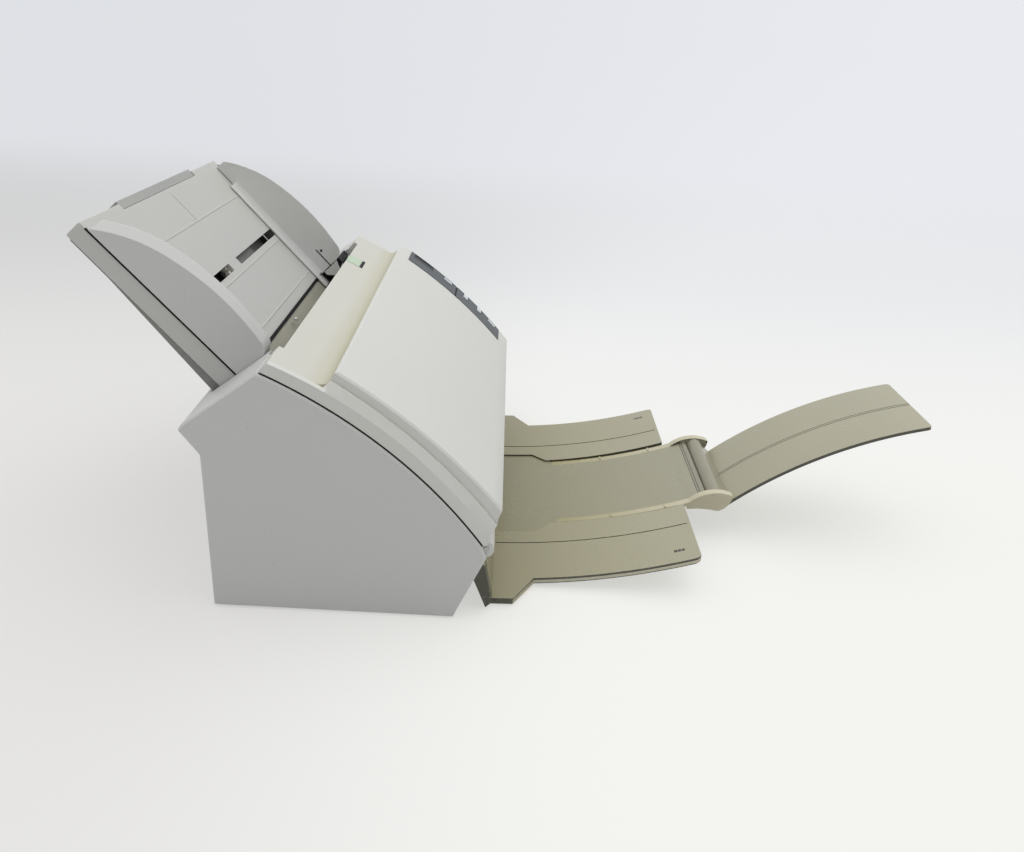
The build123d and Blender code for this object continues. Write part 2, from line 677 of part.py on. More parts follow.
with BuildPart() as lower_guide_plate:
    plate_section = curved_strip(-GUIDE_HALF, lower_face, GUIDE_WALL, LOWER_TOP_DEG, LOWER_FOOT_DEG)
    extrude(plate_section, amount=2 * GUIDE_HALF)
    roller_windows(PICK["deg"], PICK["radius"], PICK["width"], PICK_OFFSETS, True)
    roller_windows(FEED["deg"], FEED["radius"], FEED["width"], FEED_OFFSETS, True)
    roller_windows(EJECT["deg"], EJECT["radius"], EJECT["width"], FEED_OFFSETS, True)
    with BuildSketch(across_path(LOWER_GLASS_DEG, lower_face - 2)):
        Rectangle(2 * (GLASS_HALF + SEAT), GLASS_SPAN + 2 * SEAT)
    extrude(amount=8, mode=Mode.SUBTRACT)
save(lower_guide_plate.part, "lower_guide_plate")

with BuildPart() as lower_glass:
    with BuildSketch(across_path(LOWER_GLASS_DEG, lower_face)):
        Rectangle(2 * GLASS_HALF, GLASS_SPAN)
    extrude(amount=GLASS_THICK + 1.0)
save(lower_glass.part, "lower_glass")

with BuildPart() as lower_optical_unit:
    with BuildSketch(across_path(LOWER_GLASS_DEG - 0.6, lower_face + GLASS_THICK + 1.0 + SEAT)):
        Rectangle(2 * UNIT_HALF, UNIT_SPAN - 4)
    extrude(amount=UNIT_DEPTH, taper=-3)
save(lower_optical_unit.part, "lower_optical_unit")



def meet(centre_a, reach_a, centre_b, reach_b, side):
    """Where a circle about a meets a circle about b, on the chosen side of the line a to b."""
    span = hypot(centre_b[0] - centre_a[0], centre_b[1] - centre_a[1])
    along = (reach_a**2 - reach_b**2 + span**2) / (2 * span)
    off = side * sqrt(reach_a**2 - along**2)
    ux, uy = (centre_b[0] - centre_a[0]) / span, (centre_b[1] - centre_a[1]) / span
    return (centre_a[0] + along * ux + off * uy, centre_a[1] + along * uy - off * ux)


def pitch_radius(teeth, module=MODULE):
    return teeth * module / 2


reducer_centre = meet(
    MOTOR_PLACE,
    pitch_radius(MOTOR_TEETH + REDUCER_TEETH),
    feed_centre,
    pitch_radius(FEED_TEETH + REDUCER_TEETH),
    -1,
)
idler_centre = meet(
    feed_centre,
    pitch_radius(FEED_TEETH + IDLER_TEETH),
    pick_centre,
    pitch_radius(PICK_TEETH + IDLER_TEETH),
    -1,
)
shaft_centres = (pick_centre, feed_centre, eject_centre)


# Drive frames: sheet sides that carry shafts, guides and the optical unit
def drive_frame(x_start, extra_holes):
    """A side frame: foot on the bottom plate, top edge just under the paper path."""
    with BuildPart() as plate:
        with BuildSketch(side_plane(x_start)):
            with BuildLine():
                crest = path_arc(lower_face + GUIDE_WALL + SEAT, LOWER_TOP_DEG, LOWER_FOOT_DEG + 5.4)
                Polyline(
                    crest[0],
                    (FRAME_CREST_DROP[0], crest[0][1] - FRAME_CREST_DROP[1]),
                    (FRAME_REAR_Y, FRAME_REAR_Z),
                    (FRAME_REAR_Y, inner_floor_z),
                    (FRAME_FRONT_Y, inner_floor_z),
                    FRAME_NOSE,
                    crest[2],
                )
                ThreePointArc(*crest)
            make_face()
            for centre in shaft_centres:
                with Locations(centre):
                    Circle(BUSH_RADIUS, mode=Mode.SUBTRACT)
            for centre, radius in extra_holes:
                with Locations(centre):
                    Circle(radius, mode=Mode.SUBTRACT)
        extrude(amount=FRAME_WALL)
    return plate.part


frame_left = drive_frame(-FRAME_INNER - FRAME_WALL, ())
save(frame_left, "drive_frame_left")
frame_right = drive_frame(FRAME_INNER, ((MOTOR_PLACE, MOTOR_BOSS),))
save(frame_right, "drive_frame_right")

with BuildPart() as shaft_bushes:
    for side in (-1, 1):
        for centre in shaft_centres:
            with BuildSketch(side_plane(side * (FRAME_INNER + FRAME_WALL - BUSH_LENGTH))):
                with Locations(centre):
                    Circle(BUSH_RADIUS)
                    Circle(SHAFT_RADIUS + RUN, mode=Mode.SUBTRACT)
            extrude(amount=side * BUSH_LENGTH)
save(shaft_bushes.part, "shaft_bushes")


def gear_outline(teeth, module, phase_deg):
    """Points round a spur gear: four corners for each tooth, with straight flanks."""
    pitch = pitch_radius(teeth, module)
    tip, root = pitch + 0.9 * module, pitch - 1.15 * module
    points = []
    for n in range(teeth):
        middle = radians(phase_deg) + 2 * pi * n / teeth
        half = pi / teeth * TOOTH_SHARE
        slope = 0.36 * module / pitch
        root_half = half + 1.15 * slope
        tip_half = half - 0.9 * slope
        for radius, angle in ((root, -root_half), (tip, -tip_half), (tip, tip_half), (root, root_half)):
            points.append((radius * cos(middle + angle), radius * sin(middle + angle)))
    return points


def mesh_phase(from_phase_deg, from_teeth, to_teeth, from_centre, to_centre):
    """Phase that puts a gap of the second gear on a tooth of the first, on their line of centres."""
    line = atan2(to_centre[1] - from_centre[1], to_centre[0] - from_centre[0])
    offset = (radians(from_phase_deg) - line) * from_teeth
    return degrees(line + pi - (offset + pi) / to_teeth)


feed_phase = 0.0
reducer_phase = mesh_phase(feed_phase, FEED_TEETH, REDUCER_TEETH, feed_centre, reducer_centre)
motor_phase = mesh_phase(reducer_phase, REDUCER_TEETH, MOTOR_TEETH, reducer_centre, MOTOR_PLACE)
idler_phase = mesh_phase(feed_phase, FEED_TEETH, IDLER_TEETH, feed_centre, idler_centre)
pick_phase = mesh_phase(idler_phase, IDLER_TEETH, PICK_TEETH, idler_centre, pick_centre)


def add_gear(centre, teeth, phase_deg, bore=0.0):
    """Add a spur gear in the gear plane about a point of the side view."""
    with BuildSketch(side_plane(GEAR_X)) as wheel:
        with Locations(centre):
            Polygon(*gear_outline(teeth, MODULE, phase_deg), align=None)
            if bore:
                Circle(bore, mode=Mode.SUBTRACT)
    extrude(wheel.sketch, amount=GEAR_WIDTH)


def driven_shaft(centre, gear_teeth, gear_phase, belt_pulley):
    """A driven shaft with its gear and its belt pulley where it has them."""
    with BuildPart() as turned:
        left_end = FRAME_INNER + FRAME_WALL + SHAFT_TAIL
        with BuildSketch(side_plane(-left_end)):
            with Locations(centre):
                Circle(SHAFT_RADIUS)
        extrude(amount=left_end + (BELT_X if belt_pulley else SHAFT_END))
        if gear_teeth:
            add_gear(centre, gear_teeth, gear_phase)
        if belt_pulley:
            rim_radius, rim_width = PULLEY_RIM
            for x, width, radius in (
                (BELT_X - rim_width, rim_width, rim_radius),
                (BELT_X, BELT_WIDTH + GAP, PULLEY_RADIUS),
                (BELT_X + BELT_WIDTH + GAP, rim_width, rim_radius),
            ):
                with BuildSketch(side_plane(x)):
                    with Locations(centre):
                        Circle(radius)
                extrude(amount=width)
    return turned.part


def rubbers(centre, radius, width, offsets):
    """The rubber sleeves of a roller, one solid each."""
    with BuildPart() as sleeves:
        for x in offsets:
            with BuildSketch(side_plane(x)):
                with Locations(centre):
                    Circle(radius)
                    Circle(SHAFT_RADIUS, mode=Mode.SUBTRACT)
            extrude(amount=width / 2, both=True)
    return sleeves.part


save(driven_shaft(pick_centre, PICK_TEETH, pick_phase, False), "pick_shaft")
save(rubbers(pick_centre, PICK["radius"], PICK["width"], PICK_OFFSETS), "pick_rubbers")
save(driven_shaft(feed_centre, FEED_TEETH, feed_phase, True), "feed_shaft")
save(rubbers(feed_centre, FEED["radius"], FEED["width"], FEED_OFFSETS), "feed_rubbers")
save(driven_shaft(eject_centre, 0, 0.0, True), "eject_shaft")
save(rubbers(eject_centre, EJECT["radius"], EJECT["width"], FEED_OFFSETS), "eject_rubbers")

for name, centre, teeth, phase in (
    ("reduction_gear", reducer_centre, REDUCER_TEETH, reducer_phase),
    ("idler_gear", idler_centre, IDLER_TEETH, idler_phase),
):
    with BuildPart() as stud_gear:
        add_gear(centre, teeth, phase, SHAFT_RADIUS + RUN)
    save(stud_gear.part, name)

with BuildPart() as gear_studs:
    for centre in (reducer_centre, idler_centre):
        for start, end, radius in (
            (FRAME_INNER + FRAME_WALL, GEAR_X - GAP, STUD_SHOULDER),
            (GEAR_X - GAP, GEAR_X + GEAR_WIDTH + GAP, SHAFT_RADIUS),
            (GEAR_X + GEAR_WIDTH + GAP, GEAR_X + GEAR_WIDTH + GAP + STUD_HEAD[1], STUD_HEAD[0]),
        ):
            with BuildSketch(side_plane(start)):
                with Locations(centre):
                    Circle(radius)
            extrude(amount=end - start)
save(gear_studs.part, "gear_studs")

with BuildPart() as drive_motor:
    with BuildSketch(side_plane(FRAME_INNER - MOTOR_LENGTH)):
        with Locations(MOTOR_PLACE):
            Circle(MOTOR_RADIUS)
    extrude(amount=MOTOR_LENGTH)
    with BuildSketch(side_plane(FRAME_INNER)):
        with Locations(MOTOR_PLACE):
            Circle(MOTOR_BOSS - SEAT)
    extrude(amount=FRAME_WALL)
    with BuildSketch(side_plane(FRAME_INNER + FRAME_WALL)):
        with Locations(MOTOR_PLACE):
            Circle(MOTOR_SHAFT + RUN)
    extrude(amount=-9, mode=Mode.SUBTRACT)
save(drive_motor.part, "drive_motor")

with BuildPart() as motor_pinion:
    add_gear(MOTOR_PLACE, MOTOR_TEETH, motor_phase)
    with BuildSketch(side_plane(FRAME_INNER + FRAME_WALL - 8)):
        with Locations(MOTOR_PLACE):
            Circle(MOTOR_SHAFT)
    extrude(amount=GEAR_X - FRAME_INNER - FRAME_WALL + 8)
save(motor_pinion.part, "motor_pinion")

# Belt from the feed shaft to the eject shaft: two straight runs and two half turns
with BuildPart() as drive_belt:
    inner = PULLEY_RADIUS + 0.3
    span = (feed_centre[0] - eject_centre[0], feed_centre[1] - eject_centre[1])
    lean = degrees(atan2(span[1], span[0]))
    middle = ((feed_centre[0] + eject_centre[0]) / 2, (feed_centre[1] + eject_centre[1]) / 2)
    with BuildSketch(side_plane(BELT_X + GAP / 2)):
        with Locations(Location((middle[0], middle[1], 0), (0, 0, lean))):
            SlotCenterToCenter(hypot(*span), 2 * (inner + BELT_THICK))
            SlotCenterToCenter(hypot(*span), 2 * inner, mode=Mode.SUBTRACT)
    extrude(amount=BELT_WIDTH)
save(drive_belt.part, "drive_belt")

# Hinge pins of the cover, and the stacker's
with BuildPart() as cover_hinge_pins:
    for side in (-1, 1):
        pin_start = KNUCKLE_INNER - PIN_TAIL
        with BuildSketch(side_plane(side * pin_start)):
            with Locations(COVER_HINGE):
                Circle(PIN_RADIUS)
        extrude(amount=side * (HALF - PIN_SKIN - SEAT - pin_start))
save(cover_hinge_pins.part, "cover_hinge_pins")


def cover_section(x, top_centre, top_radius, top_front_y):
    """Outline of the cover at x. The valley behind is the same, the front part takes its own arc."""
    with BuildSketch(side_plane(x)) as section:
        with BuildLine():
            under = bow(SEAM_CENTRE, SEAM_RADIUS + GAP, SEAM_END_Y, COVER_SEAM_Y)
            valley = bow(LEDGE_CENTRE, LEDGE_RADIUS, COVER_REAR_Y, STEP_FOOT_Y)
            front = bow(top_centre, top_radius, STEP_MID_Y, top_front_y)
            ThreePointArc(*under)
            Line(under[2], valley[0])
            ThreePointArc(*valley)
            Line(valley[2], front[0])
            ThreePointArc(*front)
            Polyline(front[2], COVER_FRONT_LOW, COVER_FOOT, under[0])
        make_face()
    return section.sketch


def ledge_band(x, low, high, y_start, y_end):
    """Section at x of a strip that follows the valley's surface between two heights."""
    with BuildSketch(side_plane(x)) as section:
        with BuildLine():
            lower = bow(LEDGE_CENTRE, LEDGE_RADIUS + low, y_start, y_end)
            upper = bow(LEDGE_CENTRE, LEDGE_RADIUS + high, y_end, y_start)
            ThreePointArc(*lower)
            Line(lower[2], upper[0])
            ThreePointArc(*upper)
            Line(upper[2], lower[0])
        make_face()
    return section.sketch


# Cover shell: valley behind, ledge and shoulder round the raised panel, hinge knuckles in front
with BuildPart() as adf_cover_shell:
    middle_face = cover_section(-SHOULDER_HALF, GROOVE_CENTRE, GROOVE_RADIUS, GROOVE_FRONT_Y)
    extrude(middle_face, amount=2 * SHOULDER_HALF)
    for side in (-1, 1):
        inner_face = cover_section(side * SHOULDER_HALF, GROOVE_CENTRE, GROOVE_RADIUS, GROOVE_FRONT_Y)
        outer_face = cover_section(side * COVER_HALF, LEDGE_CENTRE, LEDGE_RADIUS, LEDGE_FRONT_Y)
        loft(sections=[inner_face, outer_face], ruled=True)
    # hollow from below
    with BuildSketch(side_plane(-COVER_HALF + COVER_WALL)):
        with BuildLine():
            rear_inner_y = COVER_NOTCH_Y - COVER_WALL
            front_inner_y = COVER_FOOT[0] + COVER_WALL
            roof = bow(LEDGE_CENTRE, LEDGE_RADIUS - COVER_WALL, rear_inner_y, front_inner_y + 2)
            ThreePointArc(*roof)
            Polyline(roof[2], (front_inner_y + 1.2, COVER_HINGE[1]), (rear_inner_y, COVER_HINGE[1]), roof[0])
        make_face()
    extrude(amount=2 * (COVER_HALF - COVER_WALL), mode=Mode.SUBTRACT)
    # entry notch in the rear edge, and the exit mouth in front
    with BuildSketch(side_plane(-COVER_NOTCH_HALF)):
        with Locations((COVER_NOTCH_Y, ABOVE)):
            Rectangle(COVER_REAR_Y + COVER_WALL, ABOVE, align=(Align.MIN, Align.CENTER))
    extrude(amount=2 * COVER_NOTCH_HALF, mode=Mode.SUBTRACT)
    # bed of the lever's marker
    bed = ledge_band(MARKER_X[0], -0.8, 5, MARKER_Y[2], COVER_NOTCH_Y + 1)
    extrude(bed, amount=MARKER_X[1] - MARKER_X[0], mode=Mode.SUBTRACT)
    # knuckles round the hinge pins
    for side in (-1, 1):
        with BuildSketch(side_plane(side * KNUCKLE_INNER)):
            with Locations(COVER_HINGE):
                Circle(KNUCKLE_RADIUS)
            Polygon(
                (COVER_HINGE[0] - 3.0, COVER_HINGE[1]),
                (COVER_FOOT[0] + 0.6, COVER_FOOT[1] + 3),
                (COVER_FOOT[0] + 5.2, COVER_FOOT[1] + 6),
                (COVER_HINGE[0] + 2.0, COVER_HINGE[1] + 4.2),
                align=None,
            )
        extrude(amount=side * (KNUCKLE_OUTER - KNUCKLE_INNER))
        with BuildSketch(side_plane(side * (KNUCKLE_INNER - 1))):
            with Locations(COVER_HINGE):
                Circle(PIN_RADIUS + RUN)
        extrude(amount=side * (KNUCKLE_OUTER - KNUCKLE_INNER + 2), mode=Mode.SUBTRACT)
save(adf_cover_shell.part, "adf_cover_shell")

marker_rear_y, marker_seam_y, marker_front_y = MARKER_Y
for name, y_low, y_high in (
    ("lever_marker", marker_seam_y, marker_rear_y),
    ("marker_tip", marker_front_y, marker_seam_y),
):
    with BuildPart() as marker:
        low_y, high_y = y_low + SEAT / 2, y_high - SEAT / 2
        extrude(
            ledge_band(MARKER_X[0] + SEAT, -0.8, MARKER_PROUD, low_y, high_y),
            amount=MARKER_X[1] - MARKER_X[0] - 2 * SEAT,
        )
    save(marker.part, name)


def top_panel_section(x):
    """Outline of the raised panel at x, with its foot on the cover shell."""
    with BuildSketch(side_plane(x)) as section:
        with BuildLine():
            foot = bow(GROOVE_CENTRE, GROOVE_RADIUS, STEP_MID_Y, GROOVE_FRONT_Y)
            crown = bow(RIM_CENTRE, RIM_RADIUS, CROWN_FRONT_Y, STEP_TOP_Y)
            ThreePointArc(*foot)
            Polyline(foot[2], COVER_FRONT_MID, PANEL_FRONT, crown[0])
            ThreePointArc(*crown)
            Line(crown[2], foot[0])
        make_face()
    return section.sketch


def rim_plane(y, lift=0.0, x=0.0):
    """Plane on the raised panel at y: local z is its outward normal, local x runs along X."""
    base = on_arc(RIM_CENTRE, RIM_RADIUS, y)
    normal = (base[0] - RIM_CENTRE[0], base[1] - RIM_CENTRE[1])
    return Plane(origin=(x, *base), x_dir=(1, 0, 0), z_dir=(0, *normal)).offset(lift)


def rim_band(x, low, high, y_start, y_end):
    """Section at x of a strip that follows the raised panel between two heights."""
    with BuildSketch(side_plane(x)) as section:
        with BuildLine():
            lower = bow(RIM_CENTRE, RIM_RADIUS + low, y_start, y_end)
            upper = bow(RIM_CENTRE, RIM_RADIUS + high, y_end, y_start)
            ThreePointArc(*lower)
            Line(lower[2], upper[0])
            ThreePointArc(*upper)
            Line(upper[2], lower[0])
        make_face()
    return section.sketch


# Raised top panel, with the recess for the operator panel and the buttons' shafts
with BuildPart() as adf_top_panel:
    extrude(top_panel_section(-PANEL_HALF), amount=2 * PANEL_HALF)
    side_rims = adf_top_panel.faces().filter_by(Axis.X).edges().sort_by(Axis.Z)
    crown_rims = [e for e in side_rims if e.length > 100 and e.center().Z > 105]
    rear_edge = adf_top_panel.edges().filter_by(Axis.X).sort_by(Axis.Z)[-1]
    chamfer(crown_rims + [rear_edge], PANEL_SOFT)
    bed = rim_band(OP_INNER - SEAT, -OP_THICK + OP_PROUD - 0.1, 5, OP_FRONT_Y - SEAT, OP_REAR_Y + SEAT)
    extrude(bed, amount=OP_OUTER - OP_INNER + 2 * SEAT, mode=Mode.SUBTRACT)
    for y, (width, depth) in BUTTONS.values():
        with BuildSketch(rim_plane(y, x=BUTTON_X)):
            Rectangle(width + 2 * GAP, depth + 2 * GAP)
        extrude(amount=-(BUTTON_SHAFT + 2 * GAP), mode=Mode.SUBTRACT)
save(adf_top_panel.part, "adf_top_panel")

with BuildPart() as operator_panel:
    strip = rim_band(OP_INNER, -OP_THICK + OP_PROUD, OP_PROUD, OP_FRONT_Y, OP_REAR_Y)
    extrude(strip, amount=OP_OUTER - OP_INNER)
    for y, (width, depth) in BUTTONS.values():
        with BuildSketch(rim_plane(y, OP_PROUD + 1, BUTTON_X)):
            RectangleRounded(width + 2 * GAP, depth + 2 * GAP, BUTTON_CORNER + GAP / 2)
        extrude(amount=-2 * OP_THICK - 1, mode=Mode.SUBTRACT)
    groove_half = OP_GROOVE[0] / 2
    groove = rim_band(
        OP_INNER, OP_PROUD - OP_GROOVE[1], OP_PROUD + 1, OP_GROOVE_Y - groove_half, OP_GROOVE_Y + groove_half
    )
    extrude(groove, amount=OP_WIDTH, mode=Mode.SUBTRACT)
    window_cut = rim_band(DISPLAY_X[0], -1.0, 4, DISPLAY_Y[1], DISPLAY_Y[0])
    extrude(window_cut, amount=DISPLAY_X[1] - DISPLAY_X[0], mode=Mode.SUBTRACT)
save(operator_panel.part, "operator_panel")

with BuildPart() as display_window:
    pane = rim_band(DISPLAY_X[0] + SEAT, -1.0, -0.1, DISPLAY_Y[1] + SEAT, DISPLAY_Y[0] - SEAT)
    extrude(pane, amount=DISPLAY_X[1] - DISPLAY_X[0] - 2 * SEAT)
save(display_window.part, "display_window")

for name, (y, size) in BUTTONS.items():
    with BuildPart() as button:
        with BuildSketch(rim_plane(y, BUTTON_PROUD, BUTTON_X)):
            RectangleRounded(*size, BUTTON_CORNER)
        extrude(amount=-(BUTTON_PROUD + BUTTON_SHAFT))
    save(button.part, name)

# Inner guide of the cover: a tub whose floor follows the path and whose rim meets the shell's roof
with BuildPart() as adf_inner_guide:
    with BuildSketch(side_plane(-GUIDE_HALF)):
        with BuildLine():
            floor = path_arc(upper_face, UPPER_TOP_DEG, UPPER_FOOT_DEG)
            rim = bow(LEDGE_CENTRE, LEDGE_RADIUS - COVER_WALL - SEAT, floor[2][0], floor[0][0])
            ThreePointArc(*floor)
            Line(floor[2], rim[0])
            ThreePointArc(*rim)
            Line(rim[2], floor[0])
        make_face()
    extrude(amount=2 * GUIDE_HALF)
    inner_half = GUIDE_HALF - GUIDE_WALL
    with BuildSketch(side_plane(-inner_half)):
        with BuildLine():
            floor = path_arc(upper_face - GUIDE_WALL, UPPER_TOP_DEG - 0.5, UPPER_FOOT_DEG + 0.5)
            ThreePointArc(*floor)
            Polyline(floor[2], (floor[2][0] + 1, ABOVE), (floor[0][0] - 1, ABOVE), floor[0])
        make_face()
    extrude(amount=2 * inner_half, mode=Mode.SUBTRACT)
    # the brake roller reaches through the floor and the tub's rear wall
    for x in PICK_OFFSETS:
        with BuildSketch(side_plane(x)) as bay:
            with Locations(brake_centre):
                Circle(BRAKE_RADIUS + WINDOW_CLEAR)
        extrude(bay.sketch, amount=PICK["width"] / 2 + WINDOW_CLEAR, both=True, mode=Mode.SUBTRACT)
    roller_windows(FEED["deg"], PINCH_RADIUS, FEED["width"], FEED_OFFSETS, False)
    roller_windows(EJECT["deg"], PINCH_RADIUS, EJECT["width"], FEED_OFFSETS, False)
    with BuildSketch(across_path(UPPER_GLASS_DEG, upper_face + 2)):
        Rectangle(2 * (GLASS_HALF + SEAT), GLASS_SPAN + 2 * SEAT)
    extrude(amount=-6, mode=Mode.SUBTRACT)
    for centre in (brake_centre, feed_pinch_centre, eject_pinch_centre):
        with BuildSketch(side_plane(-GUIDE_HALF - 1)):
            with Locations(centre):
                Circle(IDLE_SHAFT_RADIUS + RUN)
        extrude(amount=2 * GUIDE_HALF + 2, mode=Mode.SUBTRACT)
    # ears for the release lever's pin
    for x in (LEVER_X[0] - LEVER_EAR - GAP / 2, LEVER_X[1] + GAP / 2):
        tub_rear_y = path_point(UPPER_TOP_DEG, upper_face)[0]
        with BuildSketch(side_plane(x)):
            with Locations(LEVER_PIVOT):
                Circle(LEVER_BOSS)
            Polygon(
                (tub_rear_y - 1, LEVER_PIVOT[1] - 5),
                (tub_rear_y + 0.2, LEVER_PIVOT[1] - 5),
                (LEVER_PIVOT[0] + 1.6, LEVER_PIVOT[1] - 2),
                (LEVER_PIVOT[0] + 1.6, LEVER_PIVOT[1] + 2),
                (tub_rear_y + 0.2, LEVER_PIVOT[1] + 4),
                (tub_rear_y - 1, LEVER_PIVOT[1] + 4),
                align=None,
            )
            with Locations(LEVER_PIVOT):
                Circle(LEVER_PIN_RADIUS, mode=Mode.SUBTRACT)
        extrude(amount=LEVER_EAR)
save(adf_inner_guide.part, "adf_inner_guide")

with BuildPart() as release_lever:
    with BuildSketch(side_plane(LEVER_X[0])):
        Polygon(*LEVER_PROFILE, align=None)
        with Locations(LEVER_PIVOT):
            Circle(LEVER_BOSS)
            Circle(LEVER_PIN_RADIUS + RUN, mode=Mode.SUBTRACT)
    extrude(amount=LEVER_X[1] - LEVER_X[0])
    # finger grooves on the tab
    (front_y, front_z), (tip_y, tip_z) = LEVER_PROFILE[6], LEVER_PROFILE[5]
    for share in (0.25, 0.5, 0.75):
        with BuildSketch(side_plane(LEVER_X[0] + 2)):
            with Locations((front_y + share * (tip_y - front_y), front_z + share * (tip_z - front_z))):
                Circle(GRIP_RADIUS)
        extrude(amount=LEVER_X[1] - LEVER_X[0] - 4, mode=Mode.SUBTRACT)
save(release_lever.part, "release_lever")

with BuildPart() as lever_pin:
    with BuildSketch(side_plane(LEVER_X[0] - LEVER_EAR - GAP / 2)):
        with Locations(LEVER_PIVOT):
            Circle(LEVER_PIN_RADIUS)
    extrude(amount=LEVER_X[1] - LEVER_X[0] + 2 * LEVER_EAR + GAP)
save(lever_pin.part, "lever_pin")

with BuildPart() as upper_glass:
    with BuildSketch(across_path(UPPER_GLASS_DEG, upper_face)):
        Rectangle(2 * GLASS_HALF, GLASS_SPAN)
    extrude(amount=-(GLASS_THICK + 1.0))
save(upper_glass.part, "upper_glass")

with BuildPart() as upper_optical_unit:
    with BuildSketch(across_path(UPPER_GLASS_DEG, upper_face - GLASS_THICK - 1.0 - SEAT)):
        Rectangle(2 * UNIT_HALF, UNIT_SPAN - 6)
    extrude(amount=-UNIT_DEPTH * 0.75, taper=-2)
save(upper_optical_unit.part, "upper_optical_unit")


def idle_roller(centre, radius, width, offsets):
    """A free roller of the cover: a thin shaft in the tub's side walls with its sleeves."""
    with BuildPart() as turned:
        with BuildSketch(side_plane(-GUIDE_HALF)):
            with Locations(centre):
                Circle(IDLE_SHAFT_RADIUS)
        extrude(amount=2 * GUIDE_HALF)
        for x in offsets:
            with BuildSketch(side_plane(x)) as sleeve:
                with Locations(centre):
                    Circle(radius)
            extrude(sleeve.sketch, amount=width / 2, both=True)
    return turned.part


save(idle_roller(brake_centre, BRAKE_RADIUS, PICK["width"], PICK_OFFSETS), "brake_roller")
save(idle_roller(feed_pinch_centre, PINCH_RADIUS, FEED["width"], FEED_OFFSETS), "feed_pinch_rollers")
save(idle_roller(eject_pinch_centre, PINCH_RADIUS, EJECT["width"], FEED_OFFSETS), "eject_pinch_rollers")


# Chute: a shallow tray in the deck's slot, open behind, with the notch, slots and ridges
with BuildPart() as paper_chute:
    with BuildSketch(chute_side(-CHUTE_HALF)):
        Polygon(
            (0, 0),
            (CHUTE_LENGTH, 0),
            (CHUTE_LENGTH, -CHUTE_DEPTH_TOP),
            (1.1, -CHUTE_DEPTH_FOOT),
            align=None,
        )
    extrude(amount=2 * CHUTE_HALF)
    fillet(paper_chute.edges().filter_by(Axis.X).sort_by(Axis.Z)[-2:], 0.8)
    with BuildSketch(chute_side(-CHUTE_HALF + CHUTE_WALL)):
        Polygon(
            (CHUTE_WALL, -CHUTE_WALL),
            (CHUTE_LENGTH - CHUTE_WALL, -CHUTE_WALL),
            (CHUTE_LENGTH - CHUTE_WALL, -20),
            (CHUTE_WALL, -20),
            align=None,
        )
    extrude(amount=2 * (CHUTE_HALF - CHUTE_WALL), mode=Mode.SUBTRACT)
    # finger notch over the extension's grip, and the mouth that the extension slides out of
    with BuildSketch(CHUTE):
        with Locations((0, CHUTE_LENGTH)):
            Rectangle(2 * NOTCH_HALF, 2 * NOTCH_DEPTH)
    extrude(amount=-CHUTE_WALL - 4.4, mode=Mode.SUBTRACT)
    with BuildSketch(CHUTE.offset(EXT_T[0] + GAP)):
        with Locations((0, CHUTE_LENGTH)):
            Rectangle(2 * (EXT_HALF + GAP), 2 * CHUTE_WALL + 2)
    extrude(amount=-(EXT_T[0] - EXT_T[1] + 2 * GAP), mode=Mode.SUBTRACT)
    # slots for the side guides' stems
    for side in (-1, 1):
        with BuildSketch(CHUTE):
            with Locations((side * (SLOT_X[0] + SLOT_X[1]) / 2, (SLOT_S[0] + SLOT_S[1]) / 2)):
                RectangleRounded(SLOT_X[1] - SLOT_X[0], SLOT_S[1] - SLOT_S[0], 0.8)
        extrude(amount=-CHUTE_WALL - 1, mode=Mode.SUBTRACT)
    # fine ribs across the paper face, and a short one up its middle
    rib_width, rib_height = RIB_SIZE
    with BuildSketch(CHUTE):
        for s in RIBS_S:
            with Locations((0, s)):
                Rectangle(2 * PAD_INNER, rib_width)
        centre_x, start_s, end_s = CENTRE_RIB
        with Locations((centre_x, (start_s + end_s) / 2)):
            Rectangle(rib_width, end_s - start_s)
    extrude(amount=rib_height)
    # post for the guides' pinion
    with BuildSketch(CHUTE.offset(-CHUTE_WALL)):
        with Locations((0, PINION_S)):
            Circle(SHAFT_RADIUS)
    extrude(amount=RACK_TOP_T - RACK_THICK + CHUTE_WALL - 0.3)
save(paper_chute.part, "paper_chute")

# Rear lid of the chute, with its wedge-shaped foot down to the deck
with BuildPart() as chute_rear_lid:
    with BuildSketch(chute_side(-CHUTE_HALF + LID_EDGE)):
        Polygon(
            (3.0, -CHUTE_DEPTH_FOOT - SEAT),
            (CHUTE_LENGTH - 1, -CHUTE_DEPTH_TOP - SEAT),
            (CHUTE_LENGTH - 3, -CHUTE_DEPTH_TOP - 2.0),
            (82, -CHUTE_DEPTH_TOP - 2.4),
            (2.4, -18.3),
            align=None,
        )
    extrude(amount=2 * (CHUTE_HALF - LID_EDGE))
    with BuildSketch(chute_side(-CHUTE_HALF + LID_EDGE + 2.2)):
        Polygon(
            (6.0, -CHUTE_DEPTH_FOOT + 1),
            (78, -CHUTE_DEPTH_TOP + 1),
            (78, -CHUTE_DEPTH_TOP - 1.4),
            (6.0, -15.9),
            align=None,
        )
    extrude(amount=2 * (CHUTE_HALF - LID_EDGE - 2.2), mode=Mode.SUBTRACT)
save(chute_rear_lid.part, "chute_rear_lid")


